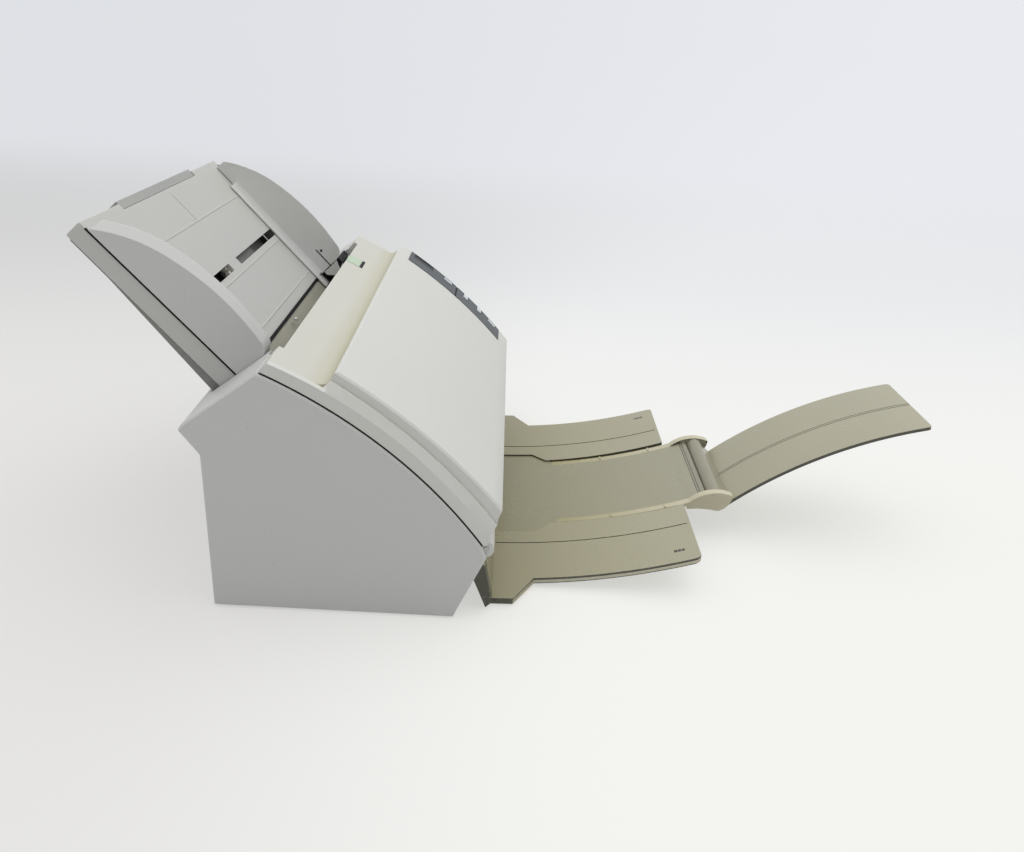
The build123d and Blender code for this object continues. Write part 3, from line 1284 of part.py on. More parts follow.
def rack_outline(start_x, end_x, pitch_s, back_s, first_tooth_x):
    """A rack along X whose teeth point from back_s to pitch_s, with one tooth at first_tooth_x."""
    step = pi * RACK_MODULE
    toward = 1 if pitch_s > back_s else -1
    tip = pitch_s + toward * 0.9 * RACK_MODULE
    root = pitch_s - toward * 1.15 * RACK_MODULE
    half_tip = step * TOOTH_SHARE / 2 - 0.33 * RACK_MODULE
    half_root = step * TOOTH_SHARE / 2 + 0.41 * RACK_MODULE
    points = [(start_x, back_s), (start_x, root)]
    first = ceil((start_x + half_root - first_tooth_x) / step)
    last = int((end_x - half_root - first_tooth_x) // step)
    for n in range(first, last + 1):
        middle = first_tooth_x + n * step
        points += [(middle - half_root, root), (middle - half_tip, tip)]
        points += [(middle + half_tip, tip), (middle + half_root, root)]
    return points + [(end_x, root), (end_x, back_s)]


pinion_pitch = pitch_radius(RACK_PINION_TEETH, RACK_MODULE)


def fin_outline(x, points):
    """Outline of a fin on the plane at x, by four arcs along its points and two straight ends."""
    with BuildSketch(chute_side(x)) as section:
        with BuildLine():
            for first in range(0, len(points) - 1, 2):
                ThreePointArc(*points[first:first + 3])
            Polyline(points[-1], FIN_TAIL, points[0])
        make_face()
    return section.sketch


# Side guides: leaning fin, pad under the sheets, stem through the slot, arm and rack behind
def side_guide(side):
    """A side guide at its widest place. side is -1 for the left and 1 for the right."""
    rack_s = PINION_S + side * pinion_pitch
    rack_back = rack_s + side * (1.15 * RACK_MODULE + RACK_WIDTH)
    with BuildPart() as guide:
        inside = fin_outline(side * FIN_INNER, FIN_INSIDE)
        outside = fin_outline(side * FIN_OUTER, FIN_OUTSIDE)
        loft([inside, outside], ruled=True)
        # hollow sweep from the pad up to the fin
        with BuildSketch(chute_across(PAD_TOP_S)):
            with BuildLine():
                sweep_height, sweep_sag = PAD_SWEEP
                pad_foot = (side * PAD_INNER, GAP)
                pad_edge = (side * PAD_INNER, GAP + PAD_THICK / 2)
                fin_meet = (side * FIN_INNER, sweep_height)
                fin_deep = side * (FIN_INNER + FIN_THICK / 2)
                ThreePointArc(pad_edge, (side * (FIN_INNER - sweep_sag), GAP + PAD_THICK), fin_meet)
                Polyline(fin_meet, (fin_deep, sweep_height), (fin_deep, GAP), pad_foot, pad_edge)
            make_face()
        extrude(amount=PAD_TOP_S)
        with BuildSketch(CHUTE.offset(GAP)):
            with Locations((side * (PAD_INNER + FIN_OUTER - 3) / 2, (PAD_FOOT_S + PAD_TOP_S) / 2)):
                Rectangle(FIN_OUTER - 3 - PAD_INNER, PAD_TOP_S - PAD_FOOT_S)
        extrude(amount=PAD_THICK / 2)
        with BuildSketch(CHUTE.offset(GAP + 0.5)):
            with Locations((side * (STEM_X[0] + STEM_X[1]) / 2, (SLOT_S[0] + SLOT_S[1]) / 2)):
                Rectangle(STEM_X[1] - STEM_X[0], SLOT_S[1] - SLOT_S[0] - 2 * GAP)
        extrude(amount=RACK_TOP_T - GAP - 1)
        with BuildSketch(CHUTE.offset(RACK_TOP_T)):
            arm_start = PINION_S - side * 2.2
            with Locations((side * (STEM_X[0] + STEM_X[1]) / 2, (arm_start + rack_back) / 2)):
                Rectangle(STEM_X[1] - STEM_X[0], abs(rack_back - arm_start))
            low_x, high_x = sorted((-side * RACK_REACH, side * STEM_X[1]))
            teeth = rack_outline(low_x, high_x, rack_s, rack_back, 0.0)
            Polygon(*teeth, align=None)
        extrude(amount=-RACK_THICK)
    return guide.part


save(side_guide(-1), "side_guide_left")
save(side_guide(1), "side_guide_right")

with BuildPart() as guide_pinion:
    with BuildSketch(CHUTE.offset(RACK_TOP_T)):
        with Locations((0, PINION_S)):
            half_tooth = 180 / RACK_PINION_TEETH
            Polygon(*gear_outline(RACK_PINION_TEETH, RACK_MODULE, 90 + half_tooth), align=None)
            Circle(SHAFT_RADIUS + RUN, mode=Mode.SUBTRACT)
    extrude(amount=-RACK_THICK)
save(guide_pinion.part, "guide_pinion")

with BuildPart() as chute_extension:
    with BuildSketch(CHUTE.offset(EXT_T[0])):
        with Locations((0, (EXT_FOOT_S + EXT_TOP_S) / 2)):
            Rectangle(2 * EXT_HALF, EXT_TOP_S - EXT_FOOT_S)
        with Locations(((EXT_WINDOW_X[0] + EXT_WINDOW_X[1]) / 2, (EXT_WINDOW_S[0] + EXT_WINDOW_S[1]) / 2)):
            window_size = (EXT_WINDOW_X[1] - EXT_WINDOW_X[0], EXT_WINDOW_S[1] - EXT_WINDOW_S[0])
            Rectangle(*window_size, mode=Mode.SUBTRACT)
    extrude(amount=EXT_T[1] - EXT_T[0])
    with BuildSketch(CHUTE.offset(EXT_T[0])):
        with Locations((0, EXT_TOP_S - 1.0)):
            Rectangle(2 * EXT_HALF, 2.0)
    extrude(amount=-EXT_T[0] - 0.6)
save(chute_extension.part, "chute_extension")


def bowed(x, top_radius, foot_radius, rear_y, front_y):
    """Section at x of a plate that follows the stacker's bow."""
    with BuildSketch(side_plane(x)) as section:
        with BuildLine():
            top = bow(BOW_CENTRE, top_radius, rear_y, front_y, under_arc)
            foot = bow(BOW_CENTRE, foot_radius, front_y, rear_y, under_arc)
            ThreePointArc(*top)
            Line(top[2], foot[0])
            ThreePointArc(*foot)
            Line(foot[2], top[0])
        make_face()
    return section.sketch


# Stacker tray: bowed wings with a channel between, a rear wall with ears, and the floor
with BuildPart() as stacker_tray:
    wing_section = bowed(-TRAY_REAR_HALF, TRAY_TOP_RADIUS, TRAY_FOOT_RADIUS, TRAY_REAR_Y, WING_FRONT_Y)
    extrude(wing_section, amount=2 * TRAY_REAR_HALF)
    with BuildSketch(Plane.XY.offset(-1)):
        with BuildLine():
            half_outline = [
                (0, TRAY_REAR_Y + 1),
                (TRAY_REAR_HALF, TRAY_REAR_Y + 1),
                (TRAY_REAR_HALF, JOG_REAR_Y),
                (WING_HALF, JOG_FRONT_Y),
                (WING_HALF, WING_FRONT_Y - 1),
                (CHANNEL_HALF + 1.4, WING_FRONT_Y - 1),
                (CHANNEL_HALF, CHANNEL_REAR_Y - 4),
                (DIP_HALF, CHANNEL_REAR_Y + 6),
                (0, CHANNEL_REAR_Y + 6),
            ]
            Polyline(*half_outline)
            mirror(about=Plane.YZ)
        make_face()
        fillet([v for v in vertices() if v.Y < WING_FRONT_Y and abs(v.X) > WING_HALF - 1], WING_CORNER + 1)
    extrude(amount=60, mode=Mode.INTERSECT)
    # sunk middle behind the channel, level with the extension
    dip = bowed(-DIP_HALF, TRAY_TOP_RADIUS - 2, EXTENSION_TOP_RADIUS, DIP_REAR_Y, CHANNEL_REAR_Y + 6)
    extrude(dip, amount=2 * DIP_HALF, mode=Mode.SUBTRACT)
    # rear wall up to the hinge line
    with BuildSketch(side_plane(-TRAY_REAR_HALF)):
        Polygon(
            (TRAY_REAR_Y + 2.2, 1.2),
            (TRAY_REAR_Y - 0.6, 1.2),
            (TRAY_REAR_Y - 1.4, 5.0),
            (UPSTAND_TOP[0] - UPSTAND_THICK, UPSTAND_TOP[1]),
            UPSTAND_TOP,
            align=None,
        )
    extrude(amount=2 * TRAY_REAR_HALF)
    # ears that reach back to the hinge
    for side in (-1, 1):
        with BuildSketch(side_plane(side * EAR_INNER)):
            with Locations(STACKER_HINGE):
                Circle(EAR_RADIUS)
            Polygon(
                (STACKER_HINGE[0] + 2, STACKER_HINGE[1] - 4.4),
                (STACKER_HINGE[0] - 1, STACKER_HINGE[1] + 4.8),
                (UPSTAND_TOP[0] - UPSTAND_THICK, UPSTAND_TOP[1] + 1),
                (TRAY_REAR_Y - 1.4, 5.0),
                (TRAY_REAR_Y + 2.2, 1.4),
                align=None,
            )
        extrude(amount=side * (EAR_OUTER - EAR_INNER))
        with BuildSketch(side_plane(side * (EAR_OUTER - 1))):
            with Locations(STACKER_HINGE):
                Circle(PIN_RADIUS)
        extrude(amount=side * (RECESS_HALF + 4.4 - EAR_OUTER + 1))
    # shallow groove along each wing
    for side in (-1, 1):
        groove_x = side * WING_GROOVE_X
        groove_foot = TRAY_TOP_RADIUS + WING_GROOVE[1]
        groove = bowed(groove_x, TRAY_TOP_RADIUS - 1, groove_foot, DIP_REAR_Y, WING_FRONT_Y + 2)
        extrude(groove, amount=WING_GROOVE[0] / 2, both=True, mode=Mode.SUBTRACT)
    # floor of the channel under the extension
    floor_half = CHANNEL_HALF + 4
    floor_top = TRAY_FOOT_RADIUS - 0.1
    floor_section = bowed(-floor_half, floor_top, FLOOR_FOOT_RADIUS, FLOOR_REAR_Y, FLOOR_FRONT_Y)
    extrude(floor_section, amount=2 * floor_half)
    riser_front_y = EXTENSION_REAR_Y + GAP
    riser = bowed(-DIP_HALF, EXTENSION_TOP_RADIUS, TRAY_FOOT_RADIUS, CHANNEL_REAR_Y + 7, riser_front_y)
    extrude(riser, amount=2 * DIP_HALF)
save(stacker_tray.part, "stacker_tray")

with BuildPart() as stacker_extension:
    plate = bowed(
        -EXTENSION_HALF, EXTENSION_TOP_RADIUS, TRAY_FOOT_RADIUS - 0.4, EXTENSION_REAR_Y, EXTENSION_FRONT_Y
    )
    extrude(plate, amount=2 * EXTENSION_HALF)
    # lugs for the flap's barrel
    for side in (-1, 1):
        with BuildSketch(side_plane(side * LUG_INNER)):
            with BuildLine():
                for arc in (LUG_CREST, LUG_BREAST, LUG_FOOT):
                    ThreePointArc(*arc)
                Line(LUG_FOOT[2], LUG_CREST[0])
            make_face()
        extrude(amount=side * LUG_THICK)
        with BuildSketch(side_plane(side * (LUG_INNER - 1))):
            with Locations(BARREL):
                Circle(BARREL_PIN_RADIUS)
        extrude(amount=side * (LUG_THICK - LUG_SKIN + 1), mode=Mode.SUBTRACT)
    # trough under the barrel, then room for the barrel itself
    trough_radius = BARREL_RADIUS + GAP + TROUGH_THICK
    with BuildSketch(side_plane(-LUG_INNER)):
        with Locations(BARREL):
            Circle(trough_radius)
        with Locations((BARREL[0] - trough_radius, BARREL[1])):
            Rectangle(1.5 * trough_radius, 3 * trough_radius, mode=Mode.SUBTRACT)
        with Locations((BARREL[0], BARREL[1] + trough_radius)):
            Rectangle(3 * trough_radius, 1.7 * trough_radius, mode=Mode.SUBTRACT)
    extrude(amount=2 * LUG_INNER)
    with BuildSketch(side_plane(-LUG_INNER)):
        with Locations(BARREL):
            Circle(BARREL_RADIUS + GAP)
    extrude(amount=2 * LUG_INNER, mode=Mode.SUBTRACT)
save(stacker_extension.part, "stacker_extension")


def drawn_in(points, depth):
    """The same three points of an arc, moved towards its centre by depth."""
    (ay, az), (by, bz), (cy, cz) = points
    d = 2 * (ay * (bz - cz) + by * (cz - az) + cy * (az - bz))
    uy = ((ay**2 + az**2) * (bz - cz) + (by**2 + bz**2) * (cz - az) + (cy**2 + cz**2) * (az - bz)) / d
    uz = ((ay**2 + az**2) * (cy - by) + (by**2 + bz**2) * (ay - cy) + (cy**2 + cz**2) * (by - ay)) / d
    share = 1 - depth / hypot(ay - uy, az - uz)
    return [(uy + (y - uy) * share, uz + (z - uz) * share) for y, z in points]


with BuildPart() as stacker_flap:
    with BuildSketch(side_plane(-BARREL_HALF)):
        with Locations(BARREL):
            Circle(BARREL_RADIUS)
    extrude(amount=2 * BARREL_HALF)
    with BuildSketch(side_plane(-FLAP_HALF)):
        with BuildLine():
            lower_arc = drawn_in(FLAP_ARC, FLAP_THICK)
            ThreePointArc(*FLAP_ARC)
            Line(FLAP_ARC[2], lower_arc[2])
            ThreePointArc(*reversed(lower_arc))
            Line(lower_arc[0], FLAP_ARC[0])
        make_face()
        Polygon(*FLAP_ROOT, align=None)
    extrude(amount=2 * FLAP_HALF)
    corners = stacker_flap.edges().filter_by(GeomType.LINE).filter_by_position(Axis.X, -FLAP_HALF, FLAP_HALF)
    tip_corners = [e for e in corners if e.center().Y < FLAP_ARC[2][0] + 5 and abs(e.center().X) > 1]
    fillet(tip_corners, FLAP_CORNER)
    groove_offset, groove_width, groove_depth = FLAP_GROOVE
    for x in (-groove_offset, groove_offset):
        with BuildSketch(side_plane(x)):
            with BuildLine():
                outer_arc = drawn_in(FLAP_ARC, -1)
                groove_arc = drawn_in(FLAP_ARC, groove_depth)
                ThreePointArc(*outer_arc)
                Line(outer_arc[2], groove_arc[2])
                ThreePointArc(*reversed(groove_arc))
                Line(groove_arc[0], outer_arc[0])
            make_face()
        extrude(amount=groove_width / 2, both=True, mode=Mode.SUBTRACT)
    with BuildSketch(side_plane(-BARREL_HALF - 1)):
        with Locations(BARREL):
            Circle(BARREL_PIN_RADIUS + RUN)
    extrude(amount=2 * BARREL_HALF + 2, mode=Mode.SUBTRACT)
save(stacker_flap.part, "stacker_flap")

with BuildPart() as flap_pin:
    pin_half = LUG_OUTER - LUG_SKIN
    with BuildSketch(side_plane(-pin_half)):
        with Locations(BARREL):
            Circle(BARREL_PIN_RADIUS)
    extrude(amount=2 * pin_half)
save(flap_pin.part, "flap_pin")
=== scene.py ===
import json
from math import cos, hypot, pi, radians, sin, sqrt

import bmesh
import bpy
from bpy.props import FloatProperty, FloatVectorProperty, IntProperty, PointerProperty
from mathutils import Matrix, Vector


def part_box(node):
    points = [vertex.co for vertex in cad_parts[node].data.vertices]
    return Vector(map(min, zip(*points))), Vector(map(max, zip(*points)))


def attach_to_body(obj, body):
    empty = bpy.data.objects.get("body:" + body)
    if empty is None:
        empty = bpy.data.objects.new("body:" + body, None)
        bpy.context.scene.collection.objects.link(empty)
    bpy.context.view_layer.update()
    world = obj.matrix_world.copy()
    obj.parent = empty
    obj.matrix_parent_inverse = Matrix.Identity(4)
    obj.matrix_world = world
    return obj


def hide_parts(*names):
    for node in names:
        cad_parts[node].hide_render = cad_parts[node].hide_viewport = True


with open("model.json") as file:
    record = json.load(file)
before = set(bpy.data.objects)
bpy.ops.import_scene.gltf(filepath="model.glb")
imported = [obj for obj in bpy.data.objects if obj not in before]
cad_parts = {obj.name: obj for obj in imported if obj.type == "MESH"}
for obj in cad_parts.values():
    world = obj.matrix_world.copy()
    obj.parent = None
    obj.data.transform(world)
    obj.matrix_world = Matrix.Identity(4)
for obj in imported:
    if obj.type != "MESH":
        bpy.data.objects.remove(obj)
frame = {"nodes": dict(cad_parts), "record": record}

bl_info = {
    "name": "Document scanner",
    "version": (1, 0, 0),
    "blender": (4, 5, 0),
    "location": "3D View > Sidebar > Scanner",
    "description": "Dresses a document scanner: housing, chute, operator strip, stacker and paper path",
    "category": "Object",
}

MM = 0.001

# Arcs of the side view in millimetres: the centre's (y, z) and the radius
VALLEY_ARC = ((135.0, -96.2), 264.5)
SEAM_ARC = ((152.9, -118.5), 285.0)
STACKER_ARC = ((-78.0, 404.0), 399.2)

# Places and sizes in millimetres
SIDE_X = 150.5
SIDE_CREASE = (
    (74.0, 110.0),
    (59.2, 104.2),
    (35.7, 94.8),
    (19.3, 87.1),
    (-3.1, 80.2),
    (-17.0, 76.8),
    (-37.8, 66.9),
    (-50.0, 52.0),
)
SEAM_X = (147.2, 149.48)
FILLET_HALF = 144.4
LEVER_TAB_FOOT = 142.6
CHUTE_FOOT = (58.5, 125.1)
CHUTE_RISE = radians(46.48)
NOTCH_FOOT = 106.0
GRIP_HALF = 61.5
GUIDE_X = (106.2, 112.9)
WING_X = 113.08  # just outside the chute's edges and the stacker's wings
EXTENSION_HALF = 46.0
EXTENSION_DROP = 1.2  # of the stacker's extension below the tray's top
CHANNEL_DEPTH = 0.9  # tray faces deeper than this belong to its channel
FRONT_LINE = 1.3  # depth at which the tray's front faces turn from dark to pale
FRONT_ZONES = (-200.0, -104.0)  # y of the tray's front edge and of the jog where the wings start
CHANNEL_EDGE = ((-58.1, -87.0), (-58.1, -112.2), (-47.2, -122.2), (-48.4, -206.0))
FLAP_BARREL = (-231.0, 29.0)
BARREL_REACH = 9.5

CAMERA_PLACE = (-574.44, -80.79, 309.63)
CAMERA_ANGLES = (23.906, -1.302, 3.583)  # pitch down, turn and roll in degrees


def body_point(x, y, z):
    return Vector((x, y, z)) * MM


def arc_point(arc, x, y, lift=0.0):
    """A point on the upper side of an arc of the side view, lifted off its surface."""
    (centre_y, centre_z), radius = arc
    rise = sqrt(radius**2 - (y - centre_y) ** 2)
    share = (radius + lift) / radius
    return body_point(x, centre_y + (y - centre_y) * share, centre_z + rise * share)


def valley_point(x, y, lift=0.0):
    return arc_point(VALLEY_ARC, x, y, lift)


def seam_point(x, y, lift=0.0):
    return arc_point(SEAM_ARC, x, y, lift)


def stacker_point(x, y, lift=0.0):
    """A point on the stacker's bowed top, lifted towards the sheets."""
    (centre_y, centre_z), radius = STACKER_ARC
    drop = sqrt(radius**2 - (y - centre_y) ** 2)
    share = (radius - lift) / radius
    return body_point(x, centre_y + (y - centre_y) * share, centre_z - drop * share)


def stacker_centre():
    return body_point(0, *STACKER_ARC[0])


def chute_point(x, along, off):
    """A point by its distance along the chute from its foot and its height off the paper face."""
    y = CHUTE_FOOT[0] + along * cos(CHUTE_RISE) - off * sin(CHUTE_RISE)
    z = CHUTE_FOOT[1] + along * sin(CHUTE_RISE) + off * cos(CHUTE_RISE)
    return body_point(x, y, z)


def scaled(colour, share):
    return tuple(share * channel for channel in colour)


# Meshes
def merged_copy(node, join_flat=False):
    """The CAD node's mesh as one closed mesh, with flat faces without holes joined if asked."""
    mesh = bmesh.new()
    mesh.from_mesh(frame["nodes"][node].data)
    bmesh.ops.remove_doubles(mesh, verts=mesh.verts, dist=2e-6)
    if join_flat:
        bmesh.ops.dissolve_limit(mesh, angle_limit=radians(0.2), verts=mesh.verts, edges=mesh.edges)
    return mesh


def cut_faces(mesh, faces, place, normal):
    """Cut these faces of a mesh along a plane, and leave the rest of it whole."""
    edges = list({edge for face in faces for edge in face.edges})
    verts = list({vert for face in faces for vert in face.verts})
    bmesh.ops.bisect_plane(mesh, geom=verts + edges + faces, plane_co=place, plane_no=normal)


def add_prism(mesh, point, x, outline, width):
    """A slab from this x over a signed width, whose outline is placed by a point function."""
    near, far = ([mesh.verts.new(point(at, *place)) for place in outline] for at in (x, x + width))
    faces = [mesh.faces.new(near), mesh.faces.new(list(reversed(far)))]
    for n in range(len(near)):
        m = (n + 1) % len(near)
        faces.append(mesh.faces.new((near[m], near[n], far[n], far[m])))
    bmesh.ops.recalc_face_normals(mesh, faces=faces)


def add_band(mesh, surface, x_low, x_high, ys, low, high):
    """A strip along a point function: ys are its start, its end and its number of rings."""
    start, end, count = ys
    rings = []
    for n in range(count):
        y = start + (end - start) * n / (count - 1)
        corners = ((x_low, low), (x_high, low), (x_high, high), (x_low, high))
        rings.append([mesh.verts.new(surface(x, y, lift)) for x, lift in corners])
    faces = [mesh.faces.new(rings[0]), mesh.faces.new(list(reversed(rings[-1])))]
    for before, after in zip(rings, rings[1:]):
        for n in range(4):
            m = (n + 1) % 4
            faces.append(mesh.faces.new((before[m], before[n], after[n], after[m])))
    bmesh.ops.recalc_face_normals(mesh, faces=faces)


# Pieces, whose finishes are given by their keys with spaces between
def body_of(node):
    for body, nodes in frame["record"]["behaviour"]["bodies"].items():
        if node in nodes:
            return body
    raise KeyError(node)


def start_piece(name, mesh, finishes, angle_deg):
    """Make an object of a mesh, smooth over edges that bend less than the angle."""
    limit = radians(angle_deg)
    for face in mesh.faces:
        face.smooth = True
    for edge in mesh.edges:
        edge.smooth = len(edge.link_faces) == 2 and edge.calc_face_angle(pi) < limit
    data = bpy.data.meshes.new(name)
    mesh.to_mesh(data)
    mesh.free()
    for key in finishes.split():
        data.materials.append(finish(key))
    piece = bpy.data.objects.new(name, data)
    bpy.context.scene.collection.objects.link(piece)
    return piece


def bake_modifiers(piece):
    """Turn a piece's modifiers into plain mesh."""
    graph = bpy.context.evaluated_depsgraph_get()
    made = piece.evaluated_get(graph)
    done = bpy.data.meshes.new_from_object(made, preserve_all_data_layers=True, depsgraph=graph)
    done.name = piece.name
    piece.modifiers.clear()
    piece.data = done


def attach(piece, body, replaces):
    """Let a piece ride on its body, and stand in for CAD nodes."""
    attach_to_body(piece, body)
    if replaces:
        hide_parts(*replaces)


def add_piece(name, mesh, body, finishes, replaces=(), soften=0.0, angle_deg=32.0):
    """Make a piece of a mesh, with its sharp edges rounded if asked."""
    piece = start_piece(name, mesh, finishes, angle_deg)
    if soften:
        bevel = piece.modifiers.new("Rounded edges", "BEVEL")
        bevel.width = soften
        bevel.segments = 2
        bevel.limit_method = "ANGLE"
        bevel.angle_limit = radians(angle_deg)
        bevel.miter_outer = "MITER_ARC"
        bevel.use_clamp_overlap = True
        bevel.harden_normals = True
        bake_modifiers(piece)
    attach(piece, body, replaces)


def dress(node, finishes, soften=0.0, angle_deg=32.0, mesh=None):
    """Stand a merged copy in for a CAD node, on its body, softened where its faces are simple."""
    mesh = mesh or merged_copy(node, soften > 0.0)
    add_piece(f"{node}_dressed", mesh, body_of(node), finishes, (node,), soften, angle_deg)


def paint(key, *nodes):
    """Give CAD nodes that are shown as they are one finish."""
    for node in nodes:
        data = frame["nodes"][node].data
        data.materials.clear()
        data.materials.append(finish(key))


def add_row(name, mesh, body, key, settings, replaces=(), angle_deg=32.0):
    """Make a piece that repeats one shape, with the row's settings by their names."""
    piece = start_piece(name, mesh, "", angle_deg)
    tree = bpy.data.node_groups.get("Row") or make_row_tree()
    modifier = piece.modifiers.new("Row", "NODES")
    modifier.node_group = tree
    settings = {**settings, "Finish": finish(key)}
    for socket in tree.interface.items_tree:
        if socket.in_out == "INPUT" and socket.name in settings:
            modifier[socket.identifier] = settings[socket.name]
    bake_modifiers(piece)
    attach(piece, body, replaces)


# Nodes
def set_inputs(tree, node, values):
    """Link or set a node's inputs by name or number."""
    for label, value in values.items():
        if isinstance(value, bpy.types.NodeSocket):
            tree.links.new(value, node.inputs[label])
        else:
            node.inputs[label].default_value = value


def add_node(tree, kind, values, **settings):
    """Add a node with its inputs and settings, and return its outputs."""
    node = tree.nodes.new(kind)
    for label, value in settings.items():
        setattr(node, label, value)
    set_inputs(tree, node, values)
    return node.outputs


def make_row_tree():
    """Repeats a shape by a step, a turn about a pivot, or both, and joins copies that touch."""
    tree = bpy.data.node_groups.new("Row", "GeometryNodeTree")
    tree.is_modifier = True
    inputs = {"Shape": "Geometry", "Count": "Int", "Step": "Vector", "Turn": "Vector", "Pivot": "Vector"}
    for label, kind in {**inputs, "Finish": "Material"}.items():
        tree.interface.new_socket(label, in_out="INPUT", socket_type=f"NodeSocket{kind}")
    tree.interface.new_socket("Row", in_out="OUTPUT", socket_type="NodeSocketGeometry")
    given = add_node(tree, "NodeGroupInput", {})

    def add(kind, **values):
        values = {label.replace("_", " "): value for label, value in values.items()}
        return add_node(tree, f"GeometryNode{kind}", values)[0]

    line = add("MeshLine", Count=given["Count"], Offset=given["Step"])
    copies = add("InstanceOnPoints", Points=line, Instance=given["Shape"])
    values = {"Vector": given["Turn"], "Scale": add("InputIndex")}
    turn = add_node(tree, "ShaderNodeVectorMath", values, operation="SCALE")["Vector"]
    pivot = given["Pivot"]
    turned = add("RotateInstances", Instances=copies, Rotation=turn, Pivot_Point=pivot, Local_Space=False)
    joined = add("MergeByDistance", Geometry=add("RealizeInstances", Geometry=turned), Distance=2e-6)
    finished = add("SetMaterial", Geometry=joined, Material=given["Finish"])
    add_node(tree, "NodeGroupOutput", {"Row": finished})
    return tree


def start_group(name, inputs, outputs):
    """A shader node group with its named sockets, its inputs and its output node."""
    group = bpy.data.node_groups.new(name, "ShaderNodeTree")
    for label, kind, default in inputs:
        socket = group.interface.new_socket(label, in_out="INPUT", socket_type=f"NodeSocket{kind}")
        if default is not None:
            socket.default_value = default
    for label, kind in outputs:
        group.interface.new_socket(label, in_out="OUTPUT", socket_type=f"NodeSocket{kind}")
    return group, group.nodes.new("NodeGroupInput").outputs, group.nodes.new("NodeGroupOutput")


def add_math(tree, operation, *values):
    return add_node(tree, "ShaderNodeMath", dict(enumerate(values)), operation=operation)[0]


def add_noise(tree, vector, scale, detail=3.0, rough=0.5):
    values = {"Vector": vector, "Scale": scale, "Detail": detail, "Roughness": rough}
    return add_node(tree, "ShaderNodeTexNoise", values)["Fac"]


def add_range(tree, value, low, high, to_low=0.0, to_high=1.0):
    values = {"Value": value, "From Min": low, "From Max": high, "To Min": to_low, "To Max": to_high}
    return add_node(tree, "ShaderNodeMapRange", values, interpolation_type="SMOOTHSTEP")["Result"]


def add_mix(tree, factor, first, second):
    """Blend two colours: the mix node's factor is its input 0, and its colours are inputs 6 and 7."""
    return add_node(tree, "ShaderNodeMix", {0: factor, 6: first, 7: second}, data_type="RGBA")[2]


def axes_of(tree, vector):
    return add_node(tree, "ShaderNodeSeparateXYZ", {0: vector})


def make_grain_group():
    """Spark-eroded mould texture: fine pebbles of an even size."""
    inputs = (("Vector", "Vector", None), ("Scale", "Float", 2200.0))
    group, given, result = start_group("Moulded grain", inputs, (("Height", "Float"),))
    place = {"Vector": given["Vector"], "Scale": given["Scale"]}
    pebbles = add_node(group, "ShaderNodeTexVoronoi", place, feature="SMOOTH_F1")
    cloud = add_noise(group, given["Vector"], given["Scale"], 2.0)
    set_inputs(group, result, {"Height": add_math(group, "ADD", pebbles["Distance"], cloud)})
    return group


def make_ageing_group():
    """Slow yellowing in patches and a thin film of dust, with the gloss that goes with them."""
    inputs = (
        ("Vector", "Vector", None),
        ("Fresh", "Color", (0.6, 0.6, 0.6, 1)),
        ("Aged", "Color", (0.6, 0.6, 0.5, 1)),
        ("Amount", "Float", 0.3),
        ("Patch Scale", "Float", 9.0),
        ("Roughness", "Float", 0.5),
    )
    group, given, result = start_group("Ageing", inputs, (("Color", "Color"), ("Roughness", "Float")))
    patches = add_noise(group, given["Vector"], given["Patch Scale"], 4.0)
    share = add_math(group, "MULTIPLY", add_range(group, patches, 0.35, 0.7), given["Amount"])
    tinted = add_mix(group, share, given["Fresh"], given["Aged"])
    specks = add_range(group, add_noise(group, given["Vector"], 640.0, 2.0), 0.69, 0.76, 0.0, 0.35)
    dusted = add_mix(group, specks, tinted, (0.36, 0.35, 0.33, 1))
    smears = add_noise(group, given["Vector"], 34.0, 5.0, 0.6)
    change = add_math(group, "MULTIPLY", add_math(group, "SUBTRACT", smears, 0.5), 0.16)
    gloss = add_math(group, "ADD", given["Roughness"], change)
    set_inputs(group, result, {"Color": dusted, "Roughness": gloss})
    return group


def make_edge_wear_and_highlight_group():
    """Lighter colour along edges, partly rubbed wear and partly a painted highlight on their rounding, and a
    normal that rounds every edge.
    """
    inputs = (
        ("Color", "Color", (0.6, 0.6, 0.6, 1)),
        ("Rubbed Highlight", "Color", (0.8, 0.8, 0.75, 1)),
        ("Amount", "Float", 0.6),
    )
    group, given, result = start_group("Rubbed edges and painted highlights", inputs, (("Color", "Color"), ("Normal", "Vector")))
    wide = add_node(group, "ShaderNodeBevel", {"Radius": 0.0011}, samples=4)
    surface = group.nodes.new("ShaderNodeNewGeometry")
    values = {0: wide["Normal"], 1: surface.outputs["Normal"]}
    turn = add_node(group, "ShaderNodeVectorMath", values, operation="DOT_PRODUCT")
    bend = add_math(group, "SUBTRACT", 1.0, turn["Value"])
    mask = add_math(group, "MULTIPLY", add_range(group, bend, 0.01, 0.16), given["Amount"])
    soft = add_node(group, "ShaderNodeBevel", {"Radius": 0.0005}, samples=4)
    colour_out = add_mix(group, mask, given["Color"], given["Rubbed Highlight"])
    set_inputs(group, result, {"Color": colour_out, "Normal": soft["Normal"]})
    return group


def make_scratch_group():
    """Long fine hairlines from paper and handling."""
    inputs = (
        ("Vector", "Vector", None),
        ("Stretch", "Vector", (260.0, 14.0, 14.0)),
        ("Amount", "Float", 0.5),
    )
    group, given, result = start_group("Hairlines", inputs, (("Mask", "Float"),))
    values = {0: given["Vector"], 1: given["Stretch"]}
    scale = add_node(group, "ShaderNodeVectorMath", values, operation="MULTIPLY")
    lines = add_range(group, add_noise(group, scale["Vector"], 1.0, 6.0, 0.7), 0.6, 0.75)
    set_inputs(group, result, {"Mask": add_math(group, "MULTIPLY", lines, given["Amount"])})
    return group


GROUP_MAKERS = {
    "grain": make_grain_group,
    "ageing": make_ageing_group,
    "edges": make_edge_wear_and_highlight_group,
    "hairlines": make_scratch_group,
}
GROUPS = {}


